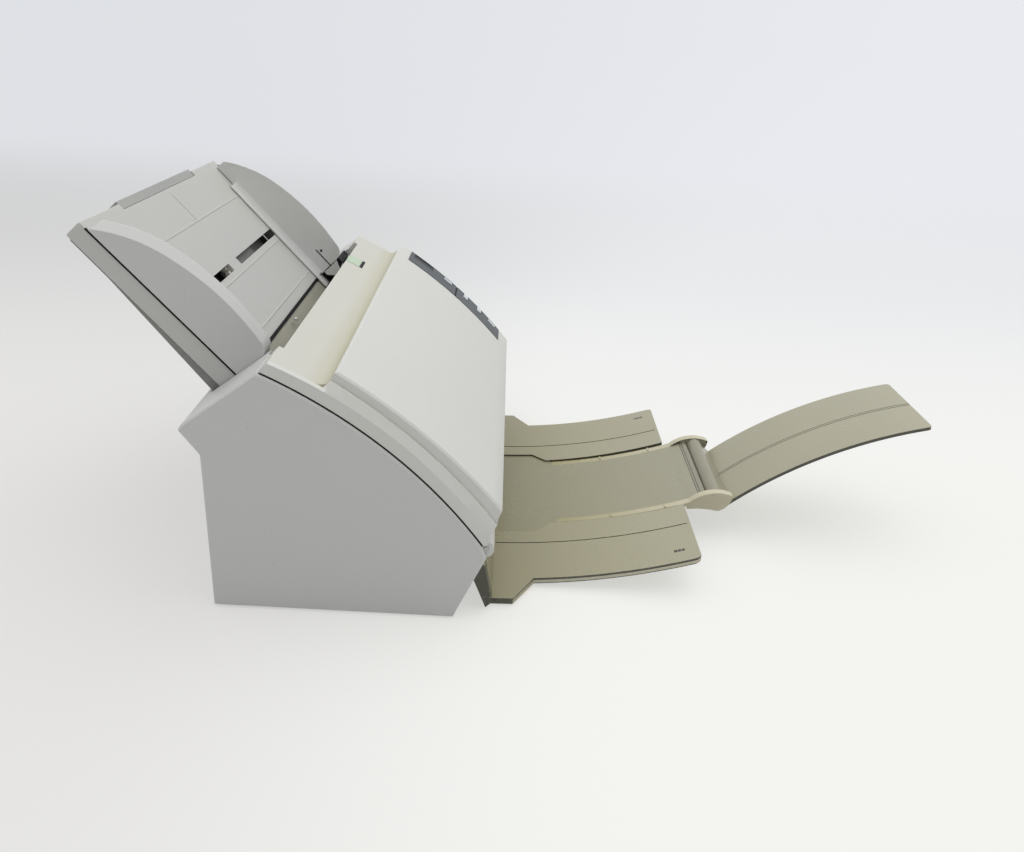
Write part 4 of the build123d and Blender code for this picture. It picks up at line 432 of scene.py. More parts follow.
def use_group(tree, key, values):
    """Place a shared effect in a material and set its named inputs."""
    if key not in GROUPS:
        GROUPS[key] = GROUP_MAKERS[key]()
    return add_node(tree, "ShaderNodeGroup", values, node_tree=GROUPS[key])


# Materials
def start_material(name):
    material = bpy.data.materials.new(name)
    material.use_nodes = True
    tree = material.node_tree
    place = tree.nodes.new("ShaderNodeTexCoord").outputs["Object"]
    return material, tree, tree.nodes["Principled BSDF"], place


def add_bump(tree, shader, height, strength, distance, normal=None):
    values = {"Strength": strength, "Distance": distance, "Height": height}
    if normal:
        values["Normal"] = normal
    bump = add_node(tree, "ShaderNodeBump", values)
    set_inputs(tree, shader, {"Normal": bump["Normal"]})


def moulded_plastic(name, colour, aged, ageing=0.3, rough=0.5, edge=0.5, tone=None):
    """Matt housing plastic with a moulded grain, patchy yellowing, and edges painted lighter for rubbed wear
    and for highlights on their rounding.
    """
    material, tree, shader, place = start_material(name)
    colours = {"Fresh": (*colour, 1), "Aged": (*aged, 1)}
    age = use_group(tree, "ageing", {"Vector": place, **colours, "Amount": ageing, "Roughness": rough})
    surface = tone(tree, place, age["Color"]) if tone else age["Color"]
    # Painted highlight: edges are mixed towards this lighter colour, partly for rubbed wear and partly for
    # light caught on their rounding.
    light = tuple(min(1.0, channel) for channel in scaled(colour, 1.22))
    edges = use_group(tree, "edges", {"Color": surface, "Rubbed Highlight": (*light, 1), "Amount": edge})
    values = {"Base Color": edges["Color"], "Roughness": age["Roughness"], "Specular IOR Level": 0.42}
    set_inputs(tree, shader, values)
    pebbles = use_group(tree, "grain", {"Vector": place})
    add_bump(tree, shader, pebbles["Height"], 0.35, 0.000035, edges["Normal"])
    return material


def valley_yellowing_and_step_shade(tree, place, colour):
    """The valley behind the raised panel has yellowed, most of all in its step, where the darker colour is
    partly painted shade.
    """
    axes = axes_of(tree, place)
    behind = add_range(tree, axes["Y"], 0.001, 0.003)
    deep = add_range(tree, axes["Y"], 0.018, 0.004, 0.3, 1.0)
    inside = add_range(tree, add_math(tree, "ABSOLUTE", axes["X"]), 0.1460, 0.1445)
    share = add_math(tree, "MULTIPLY", add_math(tree, "MULTIPLY", behind, deep), inside)
    # Painted shade: towards the step the valley is mixed to a darker yellow, partly yellowing and partly the
    # shade that falls in the step.
    return add_mix(tree, share, colour, (0.50, 0.48, 0.37, 1))


def gloss_plastic(name, colour, rough, hairlines, shine=0.5):
    """Satin or glossy plastic with a few fine hairlines."""
    material, tree, shader, place = start_material(name)
    marks = use_group(tree, "hairlines", {"Vector": place, "Amount": hairlines})
    pale = tuple(0.6 * channel + 0.12 for channel in colour)
    smears = add_noise(tree, place, 60.0, 4.0)
    values = {
        "Base Color": add_mix(tree, marks["Mask"], (*colour, 1), (*pale, 1)),
        "Roughness": add_math(tree, "MULTIPLY_ADD", smears, 0.14, rough - 0.07),
        "Specular IOR Level": shine,
    }
    set_inputs(tree, shader, values)
    return material


def smoked_plastic(name, front, rear, rough, clear):
    """Smoky see-through moulding, deeper in colour towards the scanner, with patches and dust."""
    material, tree, shader, place = start_material(name)
    depth = add_range(tree, axes_of(tree, place)["Y"], -0.24, -0.1)
    toned = add_mix(tree, depth, (*front, 1), (*rear, 1))
    patches = add_range(tree, add_noise(tree, place, 14.0, 4.0), 0.3, 0.75, 0.0, 0.16)
    base = add_mix(tree, patches, toned, (*scaled(front, 0.75), 1))
    dust = add_range(tree, add_noise(tree, place, 420.0, 2.0), 0.55, 0.8, 0.0, 0.1)
    smears = add_noise(tree, place, 26.0, 5.0)
    values = {
        "Base Color": add_mix(tree, dust, base, (0.62, 0.61, 0.56, 1)),
        "Roughness": add_range(tree, smears, 0.2, 0.8, rough - 0.06, rough + 0.08),
        "Transmission Weight": clear,
        "IOR": 1.49,
    }
    set_inputs(tree, shader, values)
    return material


def plated_metal(name, colour, rough):
    """Brushed metal with fine lines round its length."""
    material, tree, shader, place = start_material(name)
    brushed = use_group(tree, "hairlines", {"Vector": place, "Stretch": (16.0, 900.0, 900.0), "Amount": 0.6})
    cloud = add_noise(tree, place, 90.0, 3.0)
    values = {
        "Metallic": 1.0,
        "Base Color": add_mix(tree, brushed["Mask"], (*colour, 1), (*scaled(colour, 0.8), 1)),
        "Roughness": add_range(tree, cloud, 0.2, 0.8, rough - 0.08, rough + 0.1),
    }
    set_inputs(tree, shader, values)
    return material


def matt_rubber(name, colour):
    """Grained rubber with paper dust on it."""
    material, tree, shader, place = start_material(name)
    dust = add_range(tree, add_noise(tree, place, 160.0, 5.0), 0.45, 0.8, 0.0, 0.6)
    pale = tuple(channel + 0.05 for channel in colour)
    values = {
        "Base Color": add_mix(tree, dust, (*colour, 1), (*pale, 1)),
        "Roughness": add_range(tree, dust, 0.0, 0.6, 0.62, 0.82),
    }
    set_inputs(tree, shader, values)
    pebbles = use_group(tree, "grain", {"Vector": place, "Scale": 3200.0})
    add_bump(tree, shader, pebbles["Height"], 0.5, 0.00004)
    return material


def scan_glass(name):
    """Clear glass with faint smears."""
    material, tree, shader, place = start_material(name)
    values = {
        "Roughness": add_range(tree, add_noise(tree, place, 40.0, 4.0), 0.5, 0.8, 0.03, 0.09),
        "Base Color": (0.78, 0.86, 0.84, 1),
        "Transmission Weight": 0.92,
        "IOR": 1.5,
    }
    set_inputs(tree, shader, values)
    return material


def board_laminate(name):
    """Green circuit board with a pattern of tracks."""
    material, tree, shader, place = start_material(name)
    values = {
        "Vector": place,
        "Scale": 210.0,
        "Color1": (0.015, 0.13, 0.06, 1),
        "Color2": (0.02, 0.17, 0.08, 1),
        "Mortar": (0.05, 0.26, 0.13, 1),
    }
    tracks = add_node(tree, "ShaderNodeTexBrick", values)
    set_inputs(tree, shader, {"Base Color": tracks["Color"], "Roughness": 0.35})
    return material


FINISHES = {}


def finish(key):
    """The material of this key, made when it is first asked for."""
    if key not in FINISHES:
        FINISHES[key] = make_finish(key)
    return FINISHES[key]


def make_finish(key):
    """Make a material of the settings, by its key."""
    scene = bpy.context.scene
    shell, strip, tray = scene.scanner_shell, scene.scanner_strip, scene.scanner_stacker
    inner = scene.scanner_inner
    casing, cover, chute = shell.casing_colour, shell.cover_colour, shell.chute_colour
    smoke, deep = tray.colour, tray.deep_colour
    moulded = {
        "casing": ("Casing plastic", casing, 0.1, {}),
        "cover": ("Cover plastic", cover, 0.15, {"tone": valley_yellowing_and_step_shade}),
        "fillet": ("Fillet plastic", cover, 0.15, {"edge": 0.0, "tone": valley_yellowing_and_step_shade}),
        "panel": ("Raised panel plastic", cover, 0.1, {"rough": 0.46}),
        "chute": ("Chute plastic", chute, 0.15, {"edge": 0.9}),
        # Painted shade: the chute plastic at 0.45 of its colour, for the recessed lid, the extension's plate
        # and the guide stems below the paper face.
        "lid": ("Chute lid plastic", scaled(chute, 0.45), 0.1, {"edge": 0.2}),
        # Painted shade: the grip is the chute plastic made darker, for the shade on its face.
        "grip": ("Grip plastic painted in shade", scaled(chute, 0.68), 0.1, {"edge": 0.2}),
        "guide": ("Side guide plastic", casing, 0.12, {"edge": 0.8}),
        # Painted light: the far guide is the casing plastic made lighter, for the light on its inner face.
        "far_guide_lit": ("Far guide plastic painted lighter", scaled(casing, 1.22), 0.12, {}),
        # Painted shade: the pale entry guide is given a dark olive colour for the shade it lies in.
        "entry": ("Entry guide plastic painted in shade", (0.37, 0.36, 0.29), 0.3, {"edge": 0.2}),
        "strip": ("Operator strip plastic", strip.colour, 0.0, {"rough": 0.42, "edge": 0.35}),
    }
    glossy = {
        "key": ("Key plastic", strip.key_colour, 0.38, 0.1),
        "display": ("Display window", (0.003, 0.003, 0.0035), 0.3, 0.1, 0.12),
        "black": ("Black moulding", (0.006, 0.006, 0.0065), 0.5, 0.1, 0.2),
        "mark": ("Printed mark", (0.02, 0.02, 0.022), 0.6, 0.1),
        "green": ("Marker plastic", (0.50, 0.62, 0.47), 0.45, 0.1),
        "nylon": ("Gear nylon", (0.74, 0.72, 0.64), 0.42, 0.15),
    }
    smoked = {
        "smoke": ("Smoked stacker plastic", smoke, deep, 0.3),
        "smoke_mid": ("Smoked extension plastic", scaled(smoke, 0.86), scaled(deep, 0.87), 0.3),
        "smoke_barrel": ("Smoked barrel plastic", scaled(smoke, 0.73), deep, 0.22),
        # Painted light and shade: dark sides and upper edges stand in for the shade on their bevels and the
        # darker look through the plastic edge-on; pale rims and lines stand in for light gathered in the
        # see-through plastic.
        "smoke_edge": ("Smoked stacker edge", tray.edge_colour, tray.edge_colour, 0.25),
        "smoke_rim": ("Smoked stacker rim", tray.rim_colour, tray.rim_deep, 0.25),
        "wing_rim": ("Smoked wing rim", tray.rim_colour, (0.62, 0.60, 0.47), 0.25),
    }
    others = {
        "steel": (plated_metal, "Plated steel", inner.steel_colour, 0.32),
        "brass": (plated_metal, "Pinion brass", (0.72, 0.52, 0.24), 0.3),
        "rubber": (matt_rubber, "Roller rubber", inner.rubber_colour),
        "glass": (scan_glass, "Scan glass"),
        "board": (board_laminate, "Board laminate"),
    }
    if key in moulded:
        name, colour, ageing, options = moulded[key]
        return moulded_plastic(name, colour, shell.aged_colour, ageing, **options)
    if key in glossy:
        return gloss_plastic(*glossy[key])
    if key in smoked:
        return smoked_plastic(*smoked[key], tray.clearness)
    maker, *values = others[key]
    return maker(*values)


# Settings
def length(name, description, default):
    return FloatProperty(name=name, description=description, default=default, unit="LENGTH")


def colour(name, description, default):
    return FloatVectorProperty(
        name=name, description=description, default=default, subtype="COLOR", min=0.0, max=1.0
    )


def angle(name, description, default_deg):
    return FloatProperty(name=name, description=description, default=radians(default_deg), subtype="ANGLE")


class ScannerShellSettings(bpy.types.PropertyGroup):
    casing_colour: colour("Casing", "Plastic of the side panels and the body", (0.585, 0.588, 0.575))
    cover_colour: colour("Cover", "Plastic of the cover and its raised panel", (0.655, 0.66, 0.625))
    chute_colour: colour("Chute", "Plastic of the chute", (0.53, 0.53, 0.51))
    aged_colour: colour("Aged", "Colour that the plastic yellows to", (0.62, 0.60, 0.50))
    lean: angle("Side lean", "Lean of the side panels below their crease", 1.1)


class ScannerStripSettings(bpy.types.PropertyGroup):
    colour: colour("Strip", "Plastic of the operator strip", (0.048, 0.058, 0.063))
    key_colour: colour("Keys", "Plastic of the four keys", (0.62, 0.66, 0.68))


class ScannerChuteSettings(bpy.types.PropertyGroup):
    mark_width: length("Mark width", "Width of the fill mark's line", 0.9 * MM)


class ScannerStackerSettings(bpy.types.PropertyGroup):
    colour: colour("Smoke", "See-through plastic at its front end", (0.445, 0.425, 0.31))
    deep_colour: colour("Deep smoke", "See-through plastic close to the scanner", (0.36, 0.335, 0.205))
    # Painted shade: dark colour of the stacker's sides and upper front edges, also used for its marks and end
    # lines.
    edge_colour: colour("Edge", "Colour of the edges, which the light runs along", (0.085, 0.085, 0.06))
    # Painted light: pale colour of the rims, tabs and wing lines, which stands in for light gathered in the
    # plastic.
    rim_colour: colour("Rim", "Thin rims at the front, which gather light", (0.64, 0.60, 0.43))
    rim_deep: colour("Deep rim", "Thin rims close to the scanner", (0.36, 0.33, 0.15))
    clearness: FloatProperty(
        name="Clearness",
        description="Share of light that passes",
        default=0.13,
        subtype="FACTOR",
        min=0,
        max=1,
    )
    rim_width: length("Rim width", "Width of the pale rim along the extension", 5.5 * MM)
    tab_count: IntProperty(name="Tabs", description="Tabs along each edge of the extension", default=2, min=1)
    tab_turn: angle("Tab spacing", "Angle of the bow between two tabs", 5.2)


class ScannerInnerSettings(bpy.types.PropertyGroup):
    steel_colour: colour("Steel", "Plated steel of shafts and frames", (0.62, 0.63, 0.65))
    rubber_colour: colour("Rubber", "Rubber of rollers and feet", (0.03, 0.03, 0.032))
    tread_count: IntProperty(name="Treads", description="Treads round each rubber sleeve", default=36, min=6)
    tread_depth: length("Tread depth", "Depth of the grooves between the treads", 0.35 * MM)


class ScannerStageSettings(bpy.types.PropertyGroup):
    near_colour: colour("Near floor", "Table top in front of the scanner", (0.94, 0.94, 0.905))
    side_colour: colour("Side floor", "Table top beside and behind the scanner", (0.775, 0.765, 0.75))
    # Painted light and shade: farther behind, the floor is painted lighter on the right and darker on the
    # left, where the backdrop's curve shades it.
    shaded_floor_colour: colour("Dim floor", "Dimmer surface farther behind on the left", (0.60, 0.605, 0.605))
    lit_floor_colour: colour("Bright floor", "Brighter surface farther behind on the right", (0.80, 0.815, 0.84))
    wall_colour: colour("Wall", "Pale surface far behind", (0.735, 0.75, 0.785))
    wall_light: colour("Wall in light", "The brighter right part of that surface", (0.81, 0.825, 0.865))
    lamp_power: FloatProperty(name="Lamp", description="Overhead lamp's power", default=19.0, subtype="POWER")
    lens: FloatProperty(name="Lens", description="Focal length", default=31.94, subtype="DISTANCE_CAMERA")


class SCANNER_OT_housing(bpy.types.Operator):
    """Casing, bottom plate, rear cover, feet, screws and sockets"""

    bl_idname = "scanner.housing"
    bl_label = "Housing"

    def execute(self, context):
        mesh = merged_copy("lower_casing")
        self.cut_sides(mesh)
        slope = sin(context.scene.scanner_shell.lean)
        for vert in mesh.verts:
            if abs(vert.co.x) >= (SIDE_X - 1.2) * MM:
                side = 1 if vert.co.x > 0 else -1
                vert.co.x += side * min(0.0, vert.co.z - self.crease_height(vert.co.y)) * slope
        dress("lower_casing", "casing", angle_deg=40.0, mesh=mesh)
        dress("bottom_plate", "casing")
        dress("rear_cover", "casing")
        paint("steel", "case_screws", "usb_port")
        paint("black", "dc_jack")
        paint("board", "main_board")
        dress("rubber_feet", "rubber", 0.2 * MM)
        return {"FINISHED"}

    def cut_sides(self, mesh):
        """Cut the two side faces into a grid, so that they can lean below the crease."""
        for across, places in (((0, 1, 0), range(-78, 80, 4)), ((0, 0, 1), range(4, 150, 3))):
            for place in places:
                faces = [
                    face
                    for face in mesh.faces
                    if abs(face.normal.x) > 0.95 and abs(face.calc_center_median().x) > 0.15
                ]
                cut_faces(mesh, faces, Vector(across) * place * MM, across)

    def crease_height(self, y):
        """Height of the side panels' crease at this y, both in metres."""
        points = [(place * MM, height * MM) for place, height in SIDE_CREASE]
        if y >= points[0][0]:
            return points[0][1]
        for (y_high, z_high), (y_low, z_low) in zip(points, points[1:]):
            if y >= y_low:
                return z_low + (z_high - z_low) * (y - y_low) / (y_high - y_low)
        return points[-1][1]


class SCANNER_OT_cover(bpy.types.Operator):
    """Cover shell, raised panel, release lever and its marker"""

    bl_idname = "scanner.cover"
    bl_label = "Cover"

    def execute(self, context):
        dress("adf_cover_shell", "cover")
        dress("adf_top_panel", "panel", angle_deg=40.0)
        lever = merged_copy("release_lever")
        for face in lever.faces:
            face.material_index = 0 if face.calc_center_median().z > LEVER_TAB_FOOT * MM else 1
        dress("release_lever", "black chute", mesh=lever)
        dress("lever_marker", "green", 0.1 * MM)
        dress("marker_tip", "black", 0.1 * MM)
        self.add_fillet()
        self.add_seam_shade()
        paint("chute", "cover_hinge_pins")
        paint("steel", "lever_pin")
        return {"FINISHED"}

    def add_seam_shade(self):
        """A black strip under the cover's edge, which paints the shade in the seam above each side panel."""
        mesh = bmesh.new()
        for side in (-1, 1):
            inner, outer = sorted(side * x for x in SEAM_X)
            add_band(mesh, seam_point, inner, outer, (-78.0, 37.6, 44), 0.12, 1.0)
        add_piece("cover_seam_shade", mesh, "cover", "black")

    def add_fillet(self):
        """Concave fillet between the valley and the step up to the raised panel."""
        steps = 6
        profile = [(12.0, -0.25)]
        for n in range(steps + 1):
            turn = radians(78) * n / steps
            profile.append((10.6 - 5.4 * sin(turn), 5.6 * (1 - cos(turn)) - 0.06))
        outline = [valley_point(0, y, lift).yz / MM for y, lift in profile]
        foot = valley_point(0, 6.6).yz / MM
        outline += [foot + Vector((-2.2, -1.2)), foot + Vector((3.4, -1.6))]
        mesh = bmesh.new()
        add_prism(mesh, body_point, -FILLET_HALF, outline, 2 * FILLET_HALF)
        add_piece("valley_fillet", mesh, "cover", "fillet", angle_deg=50.0)


class SCANNER_OT_operator_strip(bpy.types.Operator):
    """Operator strip with its display and its four keys"""

    bl_idname = "scanner.operator_strip"
    bl_label = "Operator strip"

    def execute(self, context):
        dress("operator_panel", "strip")
        dress("display_window", "display", 0.1 * MM)
        for node in ("function_button", "send_button", "scan_button", "power_button"):
            dress(node, "key", 0.25 * MM)
        return {"FINISHED"}


class SCANNER_OT_chute(bpy.types.Operator):
    """Chute, lid, extension, side guides, entry guide, black strips of painted shade in its gaps, and the
    fill mark
    """

    bl_idname = "scanner.chute"
    bl_label = "Chute"

    def execute(self, context):
        dress("paper_chute", "chute")
        dress("chute_rear_lid", "lid", 0.4 * MM)
        self.add_extension()
        self.add_guide_foot(-1, "side_guide_left", "guide")
        self.add_guide_foot(1, "side_guide_right", "far_guide_lit")
        dress("entry_guide", "entry", 0.3 * MM)
        self.add_guide("side_guide_left", "guide")
        self.add_guide("side_guide_right", "far_guide_lit")
        paint("nylon", "guide_pinion")
        self.add_fill_mark(context.scene.scanner_chute.mark_width / MM)
        self.add_gap_shade()
        self.add_entry_tab()
        return {"FINISHED"}

    def add_extension(self):
        """Chute extension, with a grip that fills the notch in the chute's top."""
        mesh = merged_copy("chute_extension", True)
        upwards = chute_point(0, 1, 0) - chute_point(0, 0, 0)
        top = chute_point(0, NOTCH_FOOT + 6.0, 0)
        for vert in mesh.verts:
            if (vert.co - top).dot(upwards) > 0:
                vert.co -= upwards * 0.8
        dress("chute_extension", "lid", mesh=mesh)
        low, high = NOTCH_FOOT + 0.3, NOTCH_FOOT + 5.9
        grip = ((low, -0.5), (high, -0.5), (high, -6.4), (low, -6.4))
        mesh = bmesh.new()
        add_prism(mesh, chute_point, -GRIP_HALF, grip, 2 * GRIP_HALF)
        add_piece("extension_grip", mesh, "chute_extension", "grip", soften=0.3 * MM)

    def add_guide(self, node, tone):
        """Side guide, whose stem and rack below the paper face are painted dark, as shade."""
        mesh = merged_copy(node)
        level = chute_point(0, 0, -0.3)
        off = chute_point(0, 0, 1) - chute_point(0, 0, 0)
        for face in mesh.faces:
            face.material_index = 1 if (face.calc_center_median() - level).dot(off) < 0 else 0
        dress(node, f"{tone} lid", angle_deg=40.0, mesh=mesh)

    def add_guide_foot(self, side, body, tone):
        """Foot of a side guide, which reaches down over the entry guide."""
        foot = ((-0.2, 5.0), (-4.6, 5.6), (-8.6, 10.0), (-9.0, 16.5), (-5.2, 19.0), (-0.2, 20.0))
        inner, outer = GUIDE_X
        mesh = bmesh.new()
        add_prism(mesh, chute_point, side * outer, foot, side * (inner - outer))
        add_piece(f"{body}_foot", mesh, body, tone, soften=0.2 * MM)

    def add_gap_shade(self):
        """Black strips that paint the shade in the gaps along the chute's edges, along its foot and where its
        sides meet the body.
        """
        edge = ((-1.0, -0.55), (106.0, -0.55), (106.0, 0.26), (-1.0, 0.26))
        foot = ((-2.3, -1.7), (-0.1, -1.7), (-0.1, -0.2), (-2.3, -0.2))
        side_foot = ((73.6, 113.2), (58.6, 124.3), (58.9, 125.0), (74.0, 114.4))
        mesh = bmesh.new()
        for side in (-1, 1):
            add_prism(mesh, chute_point, side * WING_X, edge, -side * 1.4)
        add_prism(mesh, chute_point, -106.0, foot, 212.0)
        for side in (-1, 1):
            add_prism(mesh, body_point, side * WING_X, side_foot, -side * 2.0)
        add_piece("chute_gap_shade", mesh, "body", "black")

    def add_entry_tab(self):
        """Small tab in the middle of the entry guide."""
        tab = ((51.0, 122.6), (53.6, 123.2), (53.2, 124.5), (51.6, 124.2))
        mesh = bmesh.new()
        add_prism(mesh, body_point, -1.6, tab, 3.2)
        add_piece("entry_tab", mesh, "body", "chute", soften=0.2 * MM)

    def add_fill_mark(self, width):
        """Line and dot on the far guide that show how high a stack may be."""
        low, high = 12.4 - width / 2, 12.4 + width / 2
        line = ((-1.0, low), (15.2, low), (15.2, high), (-1.0, high))
        turns = (radians(30 * n) for n in range(12))
        dot = [(12.1 + cos(turn), 14.9 + sin(turn)) for turn in turns]
        mesh = bmesh.new()
        for outline in (line, dot):
            add_prism(mesh, chute_point, GUIDE_X[0] - 0.06, outline, 0.1)
        add_piece("fill_mark", mesh, "side_guide_right", "mark")


class SCANNER_OT_stacker(bpy.types.Operator):
    """Smoked stacker tray, extension and flap, with their dark edges of painted shade, pale rims of painted
    light, tabs and marks
    """

    bl_idname = "scanner.stacker"
    bl_label = "Stacker"

    def execute(self, context):
        stacker = context.scene.scanner_stacker
        no_rim = 1.0
        for node, top, rim_from in (
            ("stacker_tray", "smoke", no_rim),
            ("stacker_extension", "smoke_mid", EXTENSION_HALF * MM - stacker.rim_width),
            ("stacker_flap", "smoke", no_rim),
        ):
            mesh = merged_copy(node)
            for side in (-1, 1):
                cut_faces(mesh, mesh.faces[:], Vector((side * rim_from, 0, 0)), (1, 0, 0))
            self.split_front(mesh)
            for face in mesh.faces:
                face.material_index = self.finish_of(face, rim_from, node)
            dress(node, f"{top} smoke_edge smoke_rim smoke_barrel smoke_mid", mesh=mesh)
        paint("steel", "flap_pin")
        self.add_wing_rims()
        self.add_tabs(stacker)
        self.add_marks()
        self.add_end_lines()
        self.add_channel_lip()
        self.add_channel_shade()
        return {"FINISHED"}

    def finish_of(self, face, rim_from, node):
        """Number of a face's finish: smoky tops, dark sides of painted shade, pale rims of painted light, the
        flap's barrel and the channel.
        """
        top, edge, rim, barrel, channel = range(5)
        place = face.calc_center_median()
        if abs(place.x) > rim_from:
            return rim
        if abs(face.normal.y) > 0.8 and place.y > -130.0 * MM and abs(place.x) < EXTENSION_HALF * MM:
            return top
        in_tray = node == "stacker_tray"
        if not in_tray and (place.yz - Vector(FLAP_BARREL) * MM).length < BARREL_REACH * MM:
            return barrel
        depth = (place - stacker_centre()).yz.length - STACKER_ARC[1] * MM
        if abs(face.normal.z) > 0.6:
            return channel if in_tray and depth > CHANNEL_DEPTH * MM else top
        return rim if in_tray and self.at_front(face) and depth > FRONT_LINE * MM else edge

    def at_front(self, face):
        """Whether a face is part of the tray's front edge or of the jog where the wings start."""
        place = face.calc_center_median() / MM
        jog = abs(place.x) > 100 and -125 < place.y < -92
        return abs(face.normal.z) < 0.6 and abs(face.normal.x) < 0.95 and (place.y < -170 or jog)

    def split_front(self, mesh):
        """Cut the front faces along a line, into a dark upper edge of painted shade and a pale rim of painted
        light below it.
        """
        for y in FRONT_ZONES:
            faces = [
                face
                for face in mesh.faces
                if self.at_front(face) and abs(face.calc_center_median().y / MM - y) < 30
            ]
            line = stacker_point(0, y, -FRONT_LINE)
            cut_faces(mesh, faces, line, line - stacker_centre())

    def add_wing_rims(self):
        """Pale line of painted light along the middle of each wing's outer side."""
        mesh = bmesh.new()
        for side in (-1, 1):
            inner, outer = sorted((side * 111.4, side * WING_X))
            add_band(mesh, stacker_point, inner, outer, (-100.0, -206.5, 40), -3.2, -1.4)
        add_piece("wing_rims", mesh, "stacker", "wing_rim")

    def add_tabs(self, stacker):
        """Small guide tabs along both edges of the extension."""
        mesh = bmesh.new()
        for x in (-43.6, 43.6):
            ys = (-162.0, -163.0, 3)
            add_band(mesh, stacker_point, x - 2.2, x + 2.2, ys, -EXTENSION_DROP - 0.3, -0.5)
        settings = {"Count": stacker.tab_count, "Turn": (-stacker.tab_turn, 0, 0), "Pivot": stacker_centre()}
        add_row("extension_tabs", mesh, "stacker_extension", "smoke_rim", settings)

    def add_marks(self):
        """A small bare mark near the front corner of each wing."""
        mesh = bmesh.new()
        for y in (-195.5, -197.7, -199.9):
            add_band(mesh, stacker_point, -102.3, -99.7, (y - 0.95, y + 0.95, 3), -0.05, 0.04)
        settings = {"Count": 2, "Step": (202.0 * MM, 0, 0)}
        add_row("wing_marks", mesh, "stacker", "smoke_edge", settings)

    def add_end_lines(self):
        """Double line across the extension where its end cap starts."""
        mesh = bmesh.new()
        low, high = -EXTENSION_DROP - 0.1, -EXTENSION_DROP + 0.05
        for y in (-219.6, -221.0):
            add_band(mesh, stacker_point, -40.2, 40.2, (y - 0.25, y + 0.25, 3), low, high)
        add_piece("end_cap_lines", mesh, "stacker_extension", "smoke_edge")

    def add_channel_lip(self):
        """Smoky strip over the edge where the extension comes out of the tray."""
        mesh = bmesh.new()
        ys = (-124.8, -126.8, 5)
        add_band(mesh, stacker_point, -EXTENSION_HALF, EXTENSION_HALF, ys, -1.18, -1.1)
        add_piece("channel_lip", mesh, "stacker", "smoke_mid")

    def add_channel_shade(self):
        """Shade line along the near edge of the tray's sunk middle and its channel."""
        mesh = bmesh.new()
        for (x_rear, y_rear), (x_front, y_front) in zip(CHANNEL_EDGE, CHANNEL_EDGE[1:]):
            slope = (x_front - x_rear) / (y_front - y_rear)

            def along_edge(x, y, lift, x_rear=x_rear, y_rear=y_rear, slope=slope):
                return stacker_point(x_rear + (y - y_rear) * slope + x, y, lift)

            add_band(mesh, along_edge, -0.45, 0.45, (y_rear, y_front, 20), -0.05, 0.05)
        add_piece("channel_shade", mesh, "stacker", "smoke_barrel")


class SCANNER_OT_paper_path(bpy.types.Operator):
    """Guides, glasses, optical units, rollers and the drive inside the body"""

    bl_idname = "scanner.paper_path"
    bl_label = "Paper path"

    def execute(self, context):
        paint("black", "lower_guide_plate", "adf_inner_guide", "lower_optical_unit", "upper_optical_unit")
        paint("glass", "lower_glass", "upper_glass")
        paint("steel", "drive_frame_left", "drive_frame_right", "gear_studs", "drive_motor")
        paint("steel", "pick_shaft", "feed_shaft", "eject_shaft")
        paint("nylon", "reduction_gear", "idler_gear", "shaft_bushes")
        paint("brass", "motor_pinion")
        paint("rubber", "brake_roller", "feed_pinch_rollers", "eject_pinch_rollers", "drive_belt")
        inner = context.scene.scanner_inner
        self.add_treads("pick_rubbers", ((-33, -11), (11, 33)), inner)
        self.add_treads("feed_rubbers", ((-65, -39), (39, 65)), inner)
        self.add_treads("eject_rubbers", ((-65, -39), (39, 65)), inner)
        return {"FINISHED"}

    def add_treads(self, node, spans, inner):
        """Rubber sleeves with fine treads along them, made of one tread turned round the shaft."""
        low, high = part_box(node)
        centre = (Vector(low) + Vector(high)) / 2
        centre.x = 0.0
        outer = (high[2] - low[2]) / 2
        groove = outer - inner.tread_depth
        verts = frame["nodes"][node].data.vertices
        bore = min(hypot(vert.co.y - centre.y, vert.co.z - centre.z) for vert in verts)
        part = 2 * pi / inner.tread_count
        profile = ((0.0, outer), (0.42, outer), (0.52, groove), (0.9, groove), (1.0, outer))
        mesh = bmesh.new()
        for x_low, x_high in spans:
            rings = []
            for share, radius in profile:
                turn = part * share
                ring = []
                for x, r in ((x_low, bore), (x_high, bore), (x_high, radius), (x_low, radius)):
                    ring.append(mesh.verts.new((x * MM, centre.y + r * cos(turn), centre.z + r * sin(turn))))
                rings.append(ring)
            for before, after in zip(rings, rings[1:]):
                for n in range(4):
                    m = (n + 1) % 4
                    mesh.faces.new((before[n], before[m], after[m], after[n]))
        settings = {"Count": inner.tread_count, "Turn": (part, 0, 0), "Pivot": centre}
        add_row(f"{node}_treads", mesh, body_of(node), "rubber", settings, (node,), 20.0)


